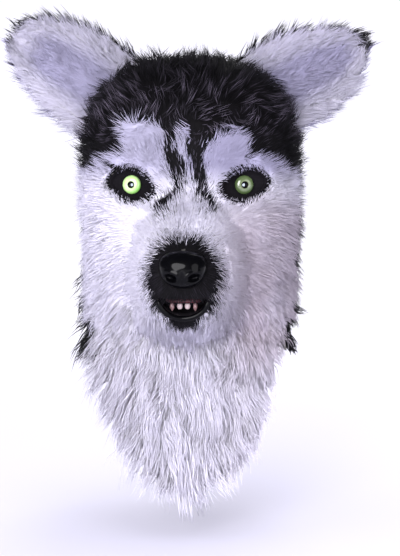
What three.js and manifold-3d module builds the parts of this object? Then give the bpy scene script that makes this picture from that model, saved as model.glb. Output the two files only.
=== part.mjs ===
// A furry wolf mask for the whole head: a cloth hood with a hollow muzzle, covered in fur panels,
// with two cupped ears, glass-like eyes in dark surrounds, a moulded nose, a toothed mouth and a
// long bib. Millimetres, +Z up, the face looks along -Y. The origin is the highest point of the
// hollow, where the crown of the wearer's head touches. Left and right are the wearer's: left is +X.
import * as THREE from 'three';
import { mergeVertices } from 'three/addons/utils/BufferGeometryUtils.js';
import Module from 'manifold-3d';

const wasm = await Module();
wasm.setup();

// The hood's cloth
const hoodHalfWidth = 120;
const faceReach = 110;
const napeReach = 114;
const hoodDrop = 345;
const clothWall = 2.5;
const sectionRoundness = 2.4;
const pieceGap = 0.35;

// The muzzle, as the cloth that stands out of the face
const muzzleRoot = -80;
const muzzleReach = 144;
const muzzleHalfWidth = 58;
const muzzleTop = -150;
const muzzleHeight = 166;
const muzzleTipY = muzzleRoot - muzzleReach;

// Fur length over the cloth
const crownPile = 21;
const cheekPile = 16;
const muzzlePile = 7;
const napePile = 24;
const bibPile = 22;
const earPile = 8;

// Panel seams
const sideSeamY = 6;
const napeSeamDrop = 232;
const bibSeamDrop = 322;
const bibClothDrop = 484;
const bibHalfWidth = 100;
const bibFurMargin = 4;

// Eyes
const eyeSpread = 64;
const eyeDrop = 141;
const eyeHalfWidth = 27;
const eyeHalfHeight = 20;
const eyeSlant = 0.14;
const eyeDent = 10;
const eyeTurn = 12;
const eyeHoleBackY = -40;
const surroundWall = 2;
const surroundRim = 2;
const surroundStandOut = 7;
const surroundFloor = 4;
const irisRadius = 11;
const irisDome = 4.5;
const irisEdge = 2.5;
const pupilRadius = 3.8;
const pupilHeight = 2;
const pupilStandOut = 0.8;
const pupilStep = 0.7;

// Nose
const noseHalfWidth = 25;
const noseHalfHeight = 21;
const noseHalfDepth = 22;
const noseStandOut = 2;
const noseY = muzzleTipY - noseStandOut;
const noseDrop = -muzzleTop + 0.458 * muzzleHeight;
const nostrilRadius = 5.5;
const nostrilSpread = 12.5;
const nostrilDrop = 4;

// Mouth
const mouthHalfWidth = 27;
const mouthTopDrop = -muzzleTop + 0.65 * muzzleHeight;
const mouthDepth = 22;
const mouthInset = 50;
const mouthBackY = muzzleTipY + mouthInset;
const liningWall = 1.6;
const lipRadius = 4;
const gumRadius = 2.6;
const gumHalfWidth = 19;
const gumSink = 5;
const gumDrop = mouthTopDrop + gumSink;
const gumInset = 18;
const gumY = muzzleTipY + gumInset;
const gumBow = 6;
const toothRadius = 2.9;
const toothPitch = 8.4;
const frontToothLength = 6.5;
const fangLength = 8.5;
const chinHalfWidth = 31;
const chinSink = 12;
const chinTopDrop = mouthTopDrop + chinSink;
const chinInset = 32;
const chinBackY = muzzleTipY + chinInset;

// Ears
const earLength = 118;
const earHalfWidth = 52;
const earCup = 26;
const earWall = 2.5;
const earBaseY = 8;
const earBaseLean = 10;

// Locks of fur along the edges
const cheekLock = { length: 22, width: 16, pitch: 25 };
const napeLock = { length: 44, width: 24, pitch: 26, hemCount: 11 };
const bibLock = { length: 34, width: 20, count: 14 };
const earLock = { length: 17, width: 10 };

// How finely the forms are divided
const clothNet = { columns: 26, rows: 16 };
const furNet = { columns: 30, rows: 19 };
const muzzleNet = { columns: 16, rows: 7 };
const earNet = { columns: 6, rows: 6, rootRows: 3 };
const eyePoints = 12;
const mouthSteps = 8;
const roundSides = 14;
const smallSides = 8;

const farFront = -400;
const farSide = 400;
const farDown = -700;

// Rows of the hood from the crown down: drop as a share of hoodDrop, then half width, front and
// back as shares of hoodHalfWidth, faceReach and napeReach. Past 1 the rows follow the chest.
const hoodSections = [
  { drop: 0.0, width: 0.0, front: 0.0, back: 0.0 },
  { drop: 0.014, width: 0.38, front: 0.36, back: 0.36 },
  { drop: 0.05, width: 0.63, front: 0.6, back: 0.62 },
  { drop: 0.105, width: 0.82, front: 0.77, back: 0.8 },
  { drop: 0.18, width: 0.94, front: 0.9, back: 0.93 },
  { drop: 0.28, width: 1.0, front: 0.98, back: 1.0 },
  { drop: 0.4, width: 1.0, front: 1.0, back: 1.02 },
  { drop: 0.52, width: 1.0, front: 1.02, back: 0.99 },
  { drop: 0.66, width: 0.98, front: 1.0, back: 0.92 },
  { drop: 0.8, width: 0.96, front: 0.93, back: 0.87 },
  { drop: 0.91, width: 0.96, front: 0.89, back: 0.92 },
  { drop: 1.0, width: 0.98, front: 0.92, back: 1.0 },
  { drop: 1.14, width: 1.0, front: 1.02, back: 1.06 },
  { drop: 1.3, width: 1.0, front: 1.12, back: 1.08 },
  { drop: 1.46, width: 1.0, front: 1.18, back: 1.08 },
];

// Rows of the muzzle from the face out: reach as a share of muzzleReach, half width as a share of
// muzzleHalfWidth, top and bottom as shares of muzzleHeight below muzzleTop.
const muzzleSections = [
  { reach: 0.0, width: 1.06, top: 0.0, bottom: 1.0 },
  { reach: 0.22, width: 1.03, top: 0.07, bottom: 0.97 },
  { reach: 0.45, width: 0.93, top: 0.16, bottom: 0.925 },
  { reach: 0.66, width: 0.81, top: 0.235, bottom: 0.885 },
  { reach: 0.83, width: 0.7, top: 0.29, bottom: 0.845 },
  { reach: 0.93, width: 0.58, top: 0.33, bottom: 0.79 },
  { reach: 0.985, width: 0.38, top: 0.4, bottom: 0.7 },
  { reach: 1.0, width: 0.0, top: 0.56, bottom: 0.56 },
];

// The seam between the white face and the dark crown, from the right cheek (-X) to the left one:
// side as a share of hoodHalfWidth, drop as a share of hoodDrop.
const markingSeam = [
  { side: -1.4, drop: 0.3 },
  { side: -1.08, drop: 0.315 },
  { side: -0.95, drop: 0.375 },
  { side: -0.87, drop: 0.34 },
  { side: -0.8, drop: 0.305 },
  { side: -0.63, drop: 0.285 },
  { side: -0.66, drop: 0.215 },
  { side: -0.56, drop: 0.186 },
  { side: -0.4, drop: 0.184 },
  { side: -0.25, drop: 0.22 },
  { side: -0.19, drop: 0.3 },
  { side: -0.17, drop: 0.37 },
  { side: -0.26, drop: 0.43 },
  { side: -0.28, drop: 0.478 },
  { side: -0.17, drop: 0.47 },
  { side: -0.06, drop: 0.41 },
  { side: -0.045, drop: 0.32 },
  { side: -0.055, drop: 0.235 },
  { side: -0.005, drop: 0.215 },
  { side: 0.04, drop: 0.25 },
  { side: 0.06, drop: 0.36 },
  { side: 0.13, drop: 0.465 },
  { side: 0.22, drop: 0.475 },
  { side: 0.2, drop: 0.4 },
  { side: 0.15, drop: 0.31 },
  { side: 0.2, drop: 0.235 },
  { side: 0.4, drop: 0.186 },
  { side: 0.56, drop: 0.2 },
  { side: 0.6, drop: 0.262 },
  { side: 0.8, drop: 0.28 },
  { side: 0.87, drop: 0.345 },
  { side: 0.95, drop: 0.375 },
  { side: 1.05, drop: 0.32 },
  { side: 1.4, drop: 0.3 },
];

// The seam under the jaw and cheeks, where the bib begins: side as a share of hoodHalfWidth, drop
// as a share of bibSeamDrop.
const jawSeam = [
  { side: 0.0, drop: 1.0 },
  { side: 0.45, drop: 1.0 },
  { side: 0.8, drop: 0.965 },
  { side: 1.0, drop: 0.92 },
  { side: 1.25, drop: 0.86 },
];

// The bib's cloth edge below its seam: half width as a share of bibHalfWidth, drop as a share of
// the cloth's length below the seam.
const bibEdge = [
  { half: 1.03, drop: -0.2 },
  { half: 1.03, drop: 0.0 },
  { half: 0.93, drop: 0.2 },
  { half: 0.85, drop: 0.42 },
  { half: 0.71, drop: 0.64 },
  { half: 0.5, drop: 0.82 },
  { half: 0.26, drop: 0.94 },
  { half: 0.0, drop: 1.0 },
];

// The dark fur round the nose and over the upper lip: side as a share of muzzleHalfWidth, drop as
// a share of muzzleHeight below muzzleTop.
const darkMuzzleEdge = [
  { side: 0.0, drop: 0.27 },
  { side: 0.4, drop: 0.32 },
  { side: 0.68, drop: 0.44 },
  { side: 0.76, drop: 0.58 },
  { side: 0.64, drop: 0.68 },
  { side: 0.4, drop: 0.7 },
  { side: 0.0, drop: 0.7 },
];

// The ears. Outlines run from the root to the tip: along as a share of earLength, the top and
// lower edges as shares of earHalfWidth. The right ear's end is blunt, as it nods forward.
const ears = {
  left: {
    side: 1,
    climb: 28,
    baseX: 107,
    baseDrop: 27,
    nod: 3,
    outline: [
      { along: -0.35, top: 1.0, low: 0.96 },
      { along: 0.0, top: 1.03, low: 0.98 },
      { along: 0.3, top: 0.98, low: 1.0 },
      { along: 0.55, top: 0.78, low: 0.84 },
      { along: 0.76, top: 0.54, low: 0.58 },
      { along: 0.9, top: 0.3, low: 0.32 },
      { along: 0.98, top: 0.08, low: 0.08 },
    ],
  },
  right: {
    side: -1,
    climb: 32,
    baseX: 109,
    baseDrop: 29,
    nod: 16,
    outline: [
      { along: -0.35, top: 1.0, low: 1.0 },
      { along: 0.0, top: 1.06, low: 1.04 },
      { along: 0.3, top: 1.04, low: 0.98 },
      { along: 0.6, top: 0.92, low: 0.82 },
      { along: 0.84, top: 0.68, low: 0.54 },
      { along: 0.96, top: 0.46, low: 0.36 },
      { along: 1.02, top: 0.2, low: 0.16 },
    ],
  },
};

const finishes = {
  cloth: { color: 0x3a3634, roughness: 0.95 },
  darkFur: { color: 0x231f20, roughness: 0.9 },
  whiteFur: { color: 0xebe9ee, roughness: 0.9 },
  darkSocket: { color: 0x0c0b0c, roughness: 0.6 },
  iris: { color: 0x9fbf86, roughness: 0.15 },
  glossBlack: { color: 0x050506, roughness: 0.12 },
  gum: { color: 0x4a1620, roughness: 0.35 },
  tooth: { color: 0xe2cfd0, roughness: 0.3 },
};

const mask = new THREE.Group();
const upAxis = new THREE.Vector3(0, 1, 0);

// A solid for joining and cutting, from a closed three.js geometry.
function toSolid(geometry) {
  const plain = geometry.index ? geometry.toNonIndexed() : geometry.clone();
  for (const name of Object.keys(plain.attributes)) {
    if (name !== 'position') plain.deleteAttribute(name);
  }
  const merged = mergeVertices(plain, 1e-3);
  const corners = merged.index.array;
  const kept = [];
  for (let i = 0; i < corners.length; i += 3) {
    const [a, b, c] = [corners[i], corners[i + 1], corners[i + 2]];
    if (a !== b && b !== c && a !== c) kept.push(a, b, c);
  }
  const vertProperties = merged.attributes.position.array;
  return new wasm.Manifold(new wasm.Mesh({ numProp: 3, vertProperties, triVerts: new Uint32Array(kept) }));
}

function meshSolid(points, triangles) {
  const geometry = new THREE.BufferGeometry().setFromPoints(points);
  geometry.setIndex(triangles);
  return toSolid(geometry);
}

const joined = (solids) => solids.reduce((all, solid) => all.add(solid));

// The largest body of a solid, so that a lock's tip that a seam cuts off is dropped.
function mainBody(solid) {
  return solid.decompose().reduce((best, body) => (body.volume() > best.volume() ? body : best));
}

// Adds one piece to the mask under its plain name.
function addPiece(name, finish, solid) {
  const { numProp, vertProperties, triVerts } = mainBody(solid).getMesh();
  const places = new Float32Array((vertProperties.length / numProp) * 3);
  for (let i = 0; i < places.length / 3; i++) {
    places.set(vertProperties.subarray(i * numProp, i * numProp + 3), i * 3);
  }
  const geometry = new THREE.BufferGeometry();
  geometry.setAttribute('position', new THREE.BufferAttribute(places, 3));
  geometry.setIndex(new THREE.BufferAttribute(triVerts, 1));
  geometry.computeVertexNormals();
  const mesh = new THREE.Mesh(geometry, new THREE.MeshStandardMaterial(finishes[finish]));
  mesh.name = name;
  mask.add(mesh);
}

// The row of a table at a value of its first column, with every column smooth between the rows.
function rowAt(rows, key, value) {
  const last = rows.length - 1;
  const after = rows.findIndex((row) => row[key] > value);
  const i = after < 0 ? last - 1 : Math.max(after - 1, 0);
  const span = rows[i + 1][key] - rows[i][key];
  const share = THREE.MathUtils.clamp((value - rows[i][key]) / span, 0, 1);
  const slope = (column, k) => {
    const [from, to] = [rows[Math.max(k - 1, 0)], rows[Math.min(k + 1, last)]];
    return ((to[column] - from[column]) / (to[key] - from[key])) * span;
  };
  const [s2, s3] = [share ** 2, share ** 3];
  const result = {};
  for (const column of Object.keys(rows[0])) {
    result[column] = (2 * s3 - 3 * s2 + 1) * rows[i][column] + (s3 - 2 * s2 + share) * slope(column, i)
      + (3 * s2 - 2 * s3) * rows[i + 1][column] + (s3 - s2) * slope(column, i + 1);
  }
  return result;
}

const roundPower = (value) => Math.sign(value) * Math.abs(value) ** (2 / sectionRoundness);

// How deep the eye sockets press into the face at a place on the cloth.
function socketDent(x, z) {
  const side = (Math.abs(x) - eyeSpread) / (1.1 * eyeHalfWidth);
  const up = (z + eyeDrop) / (1.2 * eyeHalfHeight);
  return eyeDent * Math.exp(-(side * side + up * up));
}

// A point of the hood's cloth: turn is 0 at the middle of the face, drop a share of hoodDrop.
function hoodPoint(turn, drop) {
  const section = rowAt(hoodSections, 'drop', drop);
  const x = section.width * hoodHalfWidth * roundPower(Math.sin(turn));
  const z = clothWall - drop * hoodDrop;
  const front = Math.cos(turn) > 0;
  const reach = front ? -section.front * faceReach : section.back * napeReach;
  const y = reach * Math.abs(roundPower(Math.cos(turn)));
  return new THREE.Vector3(x, front ? y + socketDent(x, z) : y, z);
}

// Where the front of the hood's cloth lies behind a place in the front view.
function hoodFront(x, z) {
  const section = rowAt(hoodSections, 'drop', (clothWall - z) / hoodDrop);
  const share = Math.min(Math.abs(x) / (section.width * hoodHalfWidth), 0.99);
  const depth = (1 - share ** sectionRoundness) ** (1 / sectionRoundness);
  return -section.front * faceReach * depth + socketDent(x, z);
}

// A point of the muzzle's cloth: turn is 0 at the bridge, reach a share of muzzleReach.
function muzzlePoint(turn, reach) {
  const section = rowAt(muzzleSections, 'reach', reach);
  const middle = (section.top + section.bottom) / 2;
  const half = (section.bottom - section.top) / 2;
  const x = section.width * muzzleHalfWidth * roundPower(Math.sin(turn));
  const z = muzzleTop - muzzleHeight * (middle - half * roundPower(Math.cos(turn)));
  return new THREE.Vector3(x, muzzleRoot - reach * muzzleReach, z);
}

// Where the front of the muzzle's cloth lies behind a place in the front view.
function muzzleFront(x, z) {
  let [near, far] = [0.4, 1];
  for (let i = 0; i < 24; i++) {
    const reach = (near + far) / 2;
    const section = rowAt(muzzleSections, 'reach', reach);
    const up = (muzzleTop - z) / muzzleHeight - (section.top + section.bottom) / 2;
    const across = Math.abs(x / (section.width * muzzleHalfWidth)) ** sectionRoundness;
    const upright = Math.abs((2 * up) / (section.bottom - section.top)) ** sectionRoundness;
    if (across + upright < 1) near = reach;
    else far = reach;
  }
  return muzzleRoot - near * muzzleReach;
}

// The outward direction of a form at a place, from its neighbours.
function outward(form, turn, along) {
  const step = 0.004;
  const across = form(turn + step, along).sub(form(turn - step, along));
  const down = form(turn, along + step).sub(form(turn, along - step));
  return down.cross(across).normalize();
}

// A closed round form: a staggered net of points over a surface, each set out by offset, with a
// pole at the start of the net and a flat cap at its end. Where a lock is given, each cell of the
// net is drawn out to a tip that stands off the surface and hangs some rows further down.
function closedForm({ form, net, turnOf, alongOf, pole, offset, lock }) {
  const points = [];
  const triangles = [];
  const { columns, rows } = net;
  const place = (i, j, standOut = 0, hang = 0) => {
    const along = alongOf((j + hang) / rows);
    const turn = turnOf(i / columns);
    const point = form(turn, along);
    const direction = j === 0 ? pole : outward(form, turn, along);
    return point.clone().addScaledVector(direction, offset(point) + standOut);
  };
  const known = new Map();
  const vertex = (i, j) => {
    const column = j === 0 ? 0 : (i + columns) % columns;
    const key = `${column} ${j}`;
    if (!known.has(key)) known.set(key, points.push(place(column, j)) - 1);
    return known.get(key);
  };
  const cell = (left, right, top, bottom, tip) => {
    if (tip === null) {
      triangles.push(left, right, top, left, bottom, right);
      return;
    }
    triangles.push(left, tip, top, top, tip, right);
    triangles.push(right, tip, bottom, bottom, tip, left);
  };
  for (let j = 1; j < rows; j++) {
    for (let i = (j + 1) % 2; i < columns; i += 2) {
      let tip = null;
      if (lock) {
        const { standOut, hang } = lock(form(turnOf(i / columns), alongOf(j / rows)));
        tip = points.push(place(i, j, standOut, hang)) - 1;
      }
      cell(vertex(i - 1, j), vertex(i + 1, j), vertex(i, j - 1), vertex(i, j + 1), tip);
    }
  }
  const foot = alongOf(1);
  const hub = points.push(form(0, foot).add(form(Math.PI, foot)).multiplyScalar(0.5)) - 1;
  for (let i = (rows + 1) % 2; i < columns; i += 2) {
    triangles.push(vertex(i - 1, rows), vertex(i + 1, rows), vertex(i, rows - 1));
    triangles.push(vertex(i + 1, rows), vertex(i - 1, rows), hub);
  }
  return meshSolid(points, triangles);
}

// A form of the hood, set out from its cloth. Columns gather towards the face, rows at the crown.
function hoodForm(net, offset, lock) {
  const foot = hoodSections[hoodSections.length - 1].drop;
  return closedForm({
    form: hoodPoint,
    net,
    turnOf: (share) => 2 * Math.PI * share - 0.3 * Math.sin(2 * Math.PI * share),
    alongOf: (share) => foot * share * share * (1.2 / (share + 0.2)),
    pole: new THREE.Vector3(0, 0, 1),
    offset,
    lock,
  });
}

function muzzleForm(offset, lock) {
  return closedForm({
    form: muzzlePoint,
    net: muzzleNet,
    turnOf: (share) => -2 * Math.PI * share,
    alongOf: (share) => 1 - share * (0.15 + 0.85 * share ** 0.6),
    pole: new THREE.Vector3(0, -1, 0),
    offset,
    lock,
  });
}

// Fur length over the hood's cloth, from the dark crown to the bib and the nape.
function pileOver(point) {
  const { smoothstep, lerp } = THREE.MathUtils;
  const low = smoothstep(-point.z, napeSeamDrop, hoodDrop);
  const behind = smoothstep(point.y, -20, 20);
  const top = lerp(cheekPile, crownPile, smoothstep(point.z, -120, -60));
  return lerp(top, lerp(bibPile, napePile, behind), low);
}

// A prism that runs straight back through a closed outline in the front view.
function frontPrism(outline, fromY, toY) {
  const shape = new THREE.Shape(outline.map(({ x, z }) => new THREE.Vector2(x, z)));
  const geometry = new THREE.ExtrudeGeometry(shape, { depth: toY - fromY, bevelEnabled: false });
  return toSolid(geometry.rotateX(Math.PI / 2).translate(0, toY, 0));
}

// A block between two corners.
function block(low, high) {
  const size = high.map((value, axis) => value - low[axis]);
  const geometry = new THREE.BoxGeometry(...size);
  return toSolid(geometry.translate(...low.map((value, axis) => value + size[axis] / 2)));
}

// A closed body through a run of rings, from the back to the front. Each ring runs anticlockwise
// in the front view, and the first and last are closed by a fan.
function ringSolid(rings) {
  const count = rings[0].length;
  const points = rings.flat();
  const triangles = [];
  for (let r = 0; r + 1 < rings.length; r++) {
    for (let i = 0; i < count; i++) {
      const [a, b] = [r * count + i, r * count + ((i + 1) % count)];
      triangles.push(a, b, b + count, a, b + count, a + count);
    }
  }
  for (const r of [0, rings.length - 1]) {
    const middle = new THREE.Vector3();
    rings[r].forEach((point) => middle.addScaledVector(point, 1 / count));
    const hub = points.push(middle) - 1;
    for (let i = 0; i < count; i++) {
      const [a, b] = [r * count + i, r * count + ((i + 1) % count)];
      if (r === 0) triangles.push(hub, b, a);
      else triangles.push(hub, a, b);
    }
  }
  return meshSolid(points, triangles);
}

// An outline moved outwards all round.
function grown(outline, distance) {
  const next = (i) => outline[(i + 1) % outline.length];
  const area = outline.reduce((sum, p, i) => sum + p.x * next(i).z - next(i).x * p.z, 0);
  return outline.map((p, i) => {
    const before = outline[(i + outline.length - 1) % outline.length];
    const along = new THREE.Vector2(next(i).x - before.x, next(i).z - before.z).normalize();
    const side = Math.sign(area) * distance;
    return { x: p.x + along.y * side, z: p.z - along.x * side };
  });
}

// A smooth run of points through a few places.
function smoothed(places, steps) {
  const curve = new THREE.SplineCurve(places.map(({ x, z }) => new THREE.Vector2(x, z)));
  return curve.getPoints(steps).map(({ x, y }) => ({ x, z: y }));
}

// A closed outline from its +X half, which runs from the top to the bottom.
function mirrored(half) {
  const inner = half.filter(({ x }) => x > 1e-6);
  return [...half, ...inner.reverse().map(({ x, z }) => ({ x: -x, z }))];
}

// The whole white front of the mask in the front view, below the marking seam.
function whiteOutline() {
  const places = markingSeam.map(({ side, drop }) => ({ x: side * hoodHalfWidth, z: -drop * hoodDrop }));
  const edge = smoothed(places, Math.round(1.5 * places.length));
  return [...edge, { x: farSide, z: edge.at(-1).z }, { x: farSide, z: farDown },
    { x: -farSide, z: farDown }, { x: -farSide, z: edge[0].z }];
}

// Everything below the jaw's seam in the front view.
function belowJawOutline() {
  const places = jawSeam.map(({ side, drop }) => ({ x: side * hoodHalfWidth, z: -drop * bibSeamDrop }));
  const seam = smoothed(places, places.length);
  const other = seam.slice(1).reverse().map(({ x, z }) => ({ x: -x, z }));
  const ends = { x: farSide, z: seam.at(-1).z };
  return [{ x: -farSide, z: ends.z }, ...other, ...seam, ends,
    { x: farSide, z: farDown }, { x: -farSide, z: farDown }];
}

function bibOutline(margin) {
  const length = bibClothDrop - bibSeamDrop;
  const places = bibEdge.map(({ half, drop }) => ({
    x: half * (bibHalfWidth + margin),
    z: -bibSeamDrop - drop * (length + margin),
  }));
  return mirrored(smoothed(places, places.length));
}

function darkMuzzleOutline() {
  const places = darkMuzzleEdge.map(({ side, drop }) => ({
    x: side * muzzleHalfWidth,
    z: muzzleTop - drop * muzzleHeight,
  }));
  return mirrored(smoothed(places, places.length));
}

// The dark patch under the lower lip, which tapers towards the throat.
function chinOutline() {
  const deep = muzzleTop - 1.2 * muzzleHeight;
  return mirrored([{ x: 0, z: -chinTopDrop }, { x: chinHalfWidth, z: -chinTopDrop },
    { x: 0.8 * chinHalfWidth, z: deep }, { x: 0, z: deep }]);
}

// The eye opening: an almond whose inner corner dips. It runs anticlockwise in the front view.
function eyeOutline(side, margin = 0, scale = 1) {
  const points = [];
  for (let i = 0; i < eyePoints; i++) {
    const turn = (2 * Math.PI * i) / eyePoints;
    const across = Math.cos(turn) * (eyeHalfWidth * scale + margin);
    const lid = 1 - 0.3 * Math.cos(turn) ** 2;
    const up = Math.sin(turn) * (eyeHalfHeight * scale + margin) * lid;
    points.push({ x: side * (eyeSpread + across), z: -eyeDrop + up + eyeSlant * across });
  }
  return side > 0 ? points : points.reverse();
}

// The mouth opening: a half moon below a straight edge, anticlockwise in the front view.
function mouthOutline(margin) {
  const points = [];
  for (let i = 0; i <= mouthSteps; i++) {
    const turn = Math.PI + (Math.PI * i) / mouthSteps;
    const across = Math.cos(turn) * (mouthHalfWidth + margin);
    points.push({ x: across, z: -mouthTopDrop + margin + Math.sin(turn) * (mouthDepth + 2 * margin) });
  }
  return points;
}

const atDepth = (outline, depth) => outline.map(({ x, z }) => new THREE.Vector3(x, depth(x, z), z));

// A bent rod of round section through a run of points.
function rod(path, radius) {
  const shape = new THREE.Shape().absarc(0, 0, radius, 0, 2 * Math.PI);
  const extrudePath = new THREE.CatmullRomCurve3(path);
  const curveSegments = smallSides / 2;
  const settings = { steps: path.length - 1, curveSegments, bevelEnabled: false, extrudePath };
  return toSolid(new THREE.ExtrudeGeometry(shape, settings));
}

// A lock of fur for an edge: a slim cone with a curl on its way to the tip.
function edgeLock(root, direction, { length, width }, curl = 0) {
  const geometry = new THREE.ConeGeometry(width / 2, length, 4, 2);
  geometry.translate(0, length / 2 - width / 3, 0);
  const places = geometry.attributes.position;
  for (let i = 0; i < places.count; i++) {
    const share = Math.max(places.getY(i) / length, 0);
    places.setX(i, places.getX(i) + curl * width * share * share);
  }
  const turn = new THREE.Quaternion().setFromUnitVectors(upAxis, direction.clone().normalize());
  return toSolid(geometry.applyQuaternion(turn).translate(root.x, root.y, root.z));
}

// A point of an ear's sheet: along and across as shares, set out to the front by lift.
function earPoint(ear, along, across, lift) {
  const edge = rowAt(ear.outline, 'along', along);
  const up = across * earHalfWidth * (across > 0 ? edge.top : edge.low);
  const climb = THREE.MathUtils.degToRad(ear.climb);
  const out = along * earLength;
  const x = ear.baseX + out * Math.cos(climb) - up * Math.sin(climb);
  const z = -ear.baseDrop + out * Math.sin(climb) + up * Math.cos(climb);
  const cup = earCup * (1 - 0.5 * along) * across * across;
  const nod = ear.nod * Math.max(along - 0.6, 0) / 0.4;
  return new THREE.Vector3(ear.side * x, earBaseY + earBaseLean * (1 - along) - cup - nod - lift, z);
}

// A closed slab of an ear between two lifts, over the net's rows up to toRow. Past the root each
// cell of the face that carries fur (1 the front, -1 the back, 0 none) is drawn out to a tip.
function earSlab(ear, { low, high, margin = 0, toRow = earNet.rows, fur = 0 }) {
  const points = [];
  const triangles = [];
  const [first, last] = [ear.outline[0].along, ear.outline.at(-1).along];
  const place = (i, j, lift) => {
    const along = first + (last - first) * (j / earNet.rows);
    const across = (1 + margin / earHalfWidth) * ((2 * i) / earNet.columns - 1);
    return earPoint(ear, along, across, lift);
  };
  const known = new Map();
  const vertex = (i, j, lift) => {
    const key = `${i} ${j} ${lift}`;
    if (!known.has(key)) known.set(key, points.push(place(i, j, lift)) - 1);
    return known.get(key);
  };
  const face = (a, b, c, facing = 1) => triangles.push(a, ...(ear.side * facing > 0 ? [b, c] : [c, b]));
  for (const [lift, facing] of [[low, -1], [high, 1]]) {
    for (let i = 0; i < earNet.columns; i++) {
      for (let j = 0; j < toRow; j++) {
        const corners = [[i, j], [i, j + 1], [i + 1, j + 1], [i + 1, j]].map(([m, n]) => vertex(m, n, lift));
        if (facing === fur && j >= earNet.rootRows) {
          const tip = points.push(place(i + 0.5, j + 0.85, lift + facing * 0.55 * earPile)) - 1;
          corners.forEach((corner, k) => face(corner, corners[(k + 1) % 4], tip, facing));
        } else {
          face(corners[0], corners[1], corners[2], facing);
          face(corners[0], corners[2], corners[3], facing);
        }
      }
    }
  }
  const rim = [];
  for (let i = 0; i < earNet.columns; i++) rim.push([i, 0]);
  for (let j = 0; j < toRow; j++) rim.push([earNet.columns, j]);
  for (let i = earNet.columns; i > 0; i--) rim.push([i, toRow]);
  for (let j = toRow; j > 0; j--) rim.push([0, j]);
  rim.forEach(([i, j], k) => {
    const [m, n] = rim[(k + 1) % rim.length];
    face(vertex(i, j, low), vertex(m, n, high), vertex(m, n, low));
    face(vertex(i, j, low), vertex(i, j, high), vertex(m, n, high));
  });
  return meshSolid(points, triangles);
}

// Dark wisps round an ear's rim, which lean on towards its tip.
function earWisps(ear) {
  const wisps = [];
  const middle = -0.7 * (earWall + earPile);
  for (const edge of [-1, 1]) {
    for (const along of [0.34, 0.56, 0.78]) {
      const root = earPoint(ear, along, 0.93 * edge, middle);
      const out = earPoint(ear, along + 0.12, 1.15 * edge, middle).sub(root);
      wisps.push(edgeLock(root, out, earLock));
    }
  }
  for (const across of [-0.6, 0, 0.6]) {
    const root = earPoint(ear, 0.93, across, middle);
    const out = earPoint(ear, 0.97, across, middle).sub(earPoint(ear, 0.6, 0.5 * across, middle));
    wisps.push(edgeLock(root, out, earLock));
  }
  return joined(wisps);
}

// White locks down the sides of the cheeks.
function cheekLocks() {
  const locks = [];
  for (const side of [-1, 1]) {
    for (let drop = eyeDrop; drop < bibSeamDrop - cheekLock.length; drop += cheekLock.pitch) {
      const root = hoodPoint(side * 1.42, drop / hoodDrop);
      root.x += side * 0.4 * cheekPile;
      locks.push(edgeLock(root, new THREE.Vector3(side * 0.75, -0.25, -1), cheekLock, 0.2 * side));
    }
  }
  return joined(locks);
}

// Dark locks that hang along the nape's hem and stand off its two sides.
function napeLocks() {
  const locks = [];
  const sideTurn = 1.78;
  for (let k = 0; k < napeLock.hemCount; k++) {
    const share = k / (napeLock.hemCount - 1);
    const turn = THREE.MathUtils.lerp(sideTurn, 2 * Math.PI - sideTurn, share);
    const out = outward(hoodPoint, turn, 1);
    const root = hoodPoint(turn, 0.965).addScaledVector(out, 0.4 * napePile);
    locks.push(edgeLock(root, out.multiplyScalar(0.5).setZ(-1), napeLock, k % 2 ? 0.25 : -0.2));
  }
  for (const side of [-1, 1]) {
    const inset = 0.35 * napeLock.length;
    for (let drop = napeSeamDrop + inset; drop < hoodDrop - inset; drop += napeLock.pitch) {
      const root = hoodPoint(side * sideTurn, drop / hoodDrop);
      root.x += side * 0.45 * napePile;
      locks.push(edgeLock(root, new THREE.Vector3(side * 0.9, 0.15, -1), napeLock, 0.2 * side));
    }
  }
  return joined(locks);
}

// White locks round the bib's edge, longest at its point.
function bibLocks() {
  const outline = bibOutline(0);
  const locks = [];
  const edge = new THREE.SplineCurve(outline.map(({ x, z }) => new THREE.Vector2(x, z)));
  for (let k = 0; k < bibLock.count; k++) {
    const share = THREE.MathUtils.lerp(0.1, 0.82, k / (bibLock.count - 1));
    const place = edge.getPointAt(share);
    const along = edge.getTangentAt(share);
    const root = new THREE.Vector3(place.x, hoodFront(place.x, place.y) - 0.4 * bibPile, place.y);
    const out = new THREE.Vector3(-0.7 * along.y, -0.1, 0.7 * along.x - 1);
    locks.push(edgeLock(root, out, bibLock, k % 3 ? 0.2 : -0.3));
  }
  return joined(locks);
}

// The nose: a rounded wedge, broad above and narrow below, with a groove and two nostrils.
function noseForm(margin) {
  const geometry = new THREE.SphereGeometry(1, 14, 10).rotateX(Math.PI / 2);
  const places = geometry.attributes.position;
  for (let i = 0; i < places.count; i++) {
    const [u, d, w] = [places.getX(i), places.getY(i), places.getZ(i)];
    const taper = 1 + 0.14 * w - 0.2 * Math.max(-w, 0);
    const groove = 0.16 * Math.exp(-((u / 0.16) ** 2)) * THREE.MathUtils.smoothstep(-w, -0.3, 0.5);
    const squareness = 1 / (Math.abs(u) ** 3 + Math.abs(w) ** 3 + Math.abs(d) ** 3) ** (1 / 3);
    const full = 0.45 + 0.55 * squareness;
    places.setXYZ(
      i,
      u * taper * full * (noseHalfWidth + margin),
      noseY + d * full * (1 - groove) * (noseHalfDepth + margin),
      -noseDrop + w * full * (noseHalfHeight + margin),
    );
  }
  return toSolid(geometry);
}

// The two nostrils, as what is cut from the nose.
function nostrils() {
  const y = noseY - 0.86 * noseHalfDepth;
  return joined([-1, 1].map((side) => {
    const geometry = new THREE.SphereGeometry(nostrilRadius, 8, 6).scale(1.25, 1, 0.8);
    geometry.rotateY(-side * 0.5);
    return toSolid(geometry.translate(side * nostrilSpread, y, -noseDrop - nostrilDrop));
  }));
}

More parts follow.
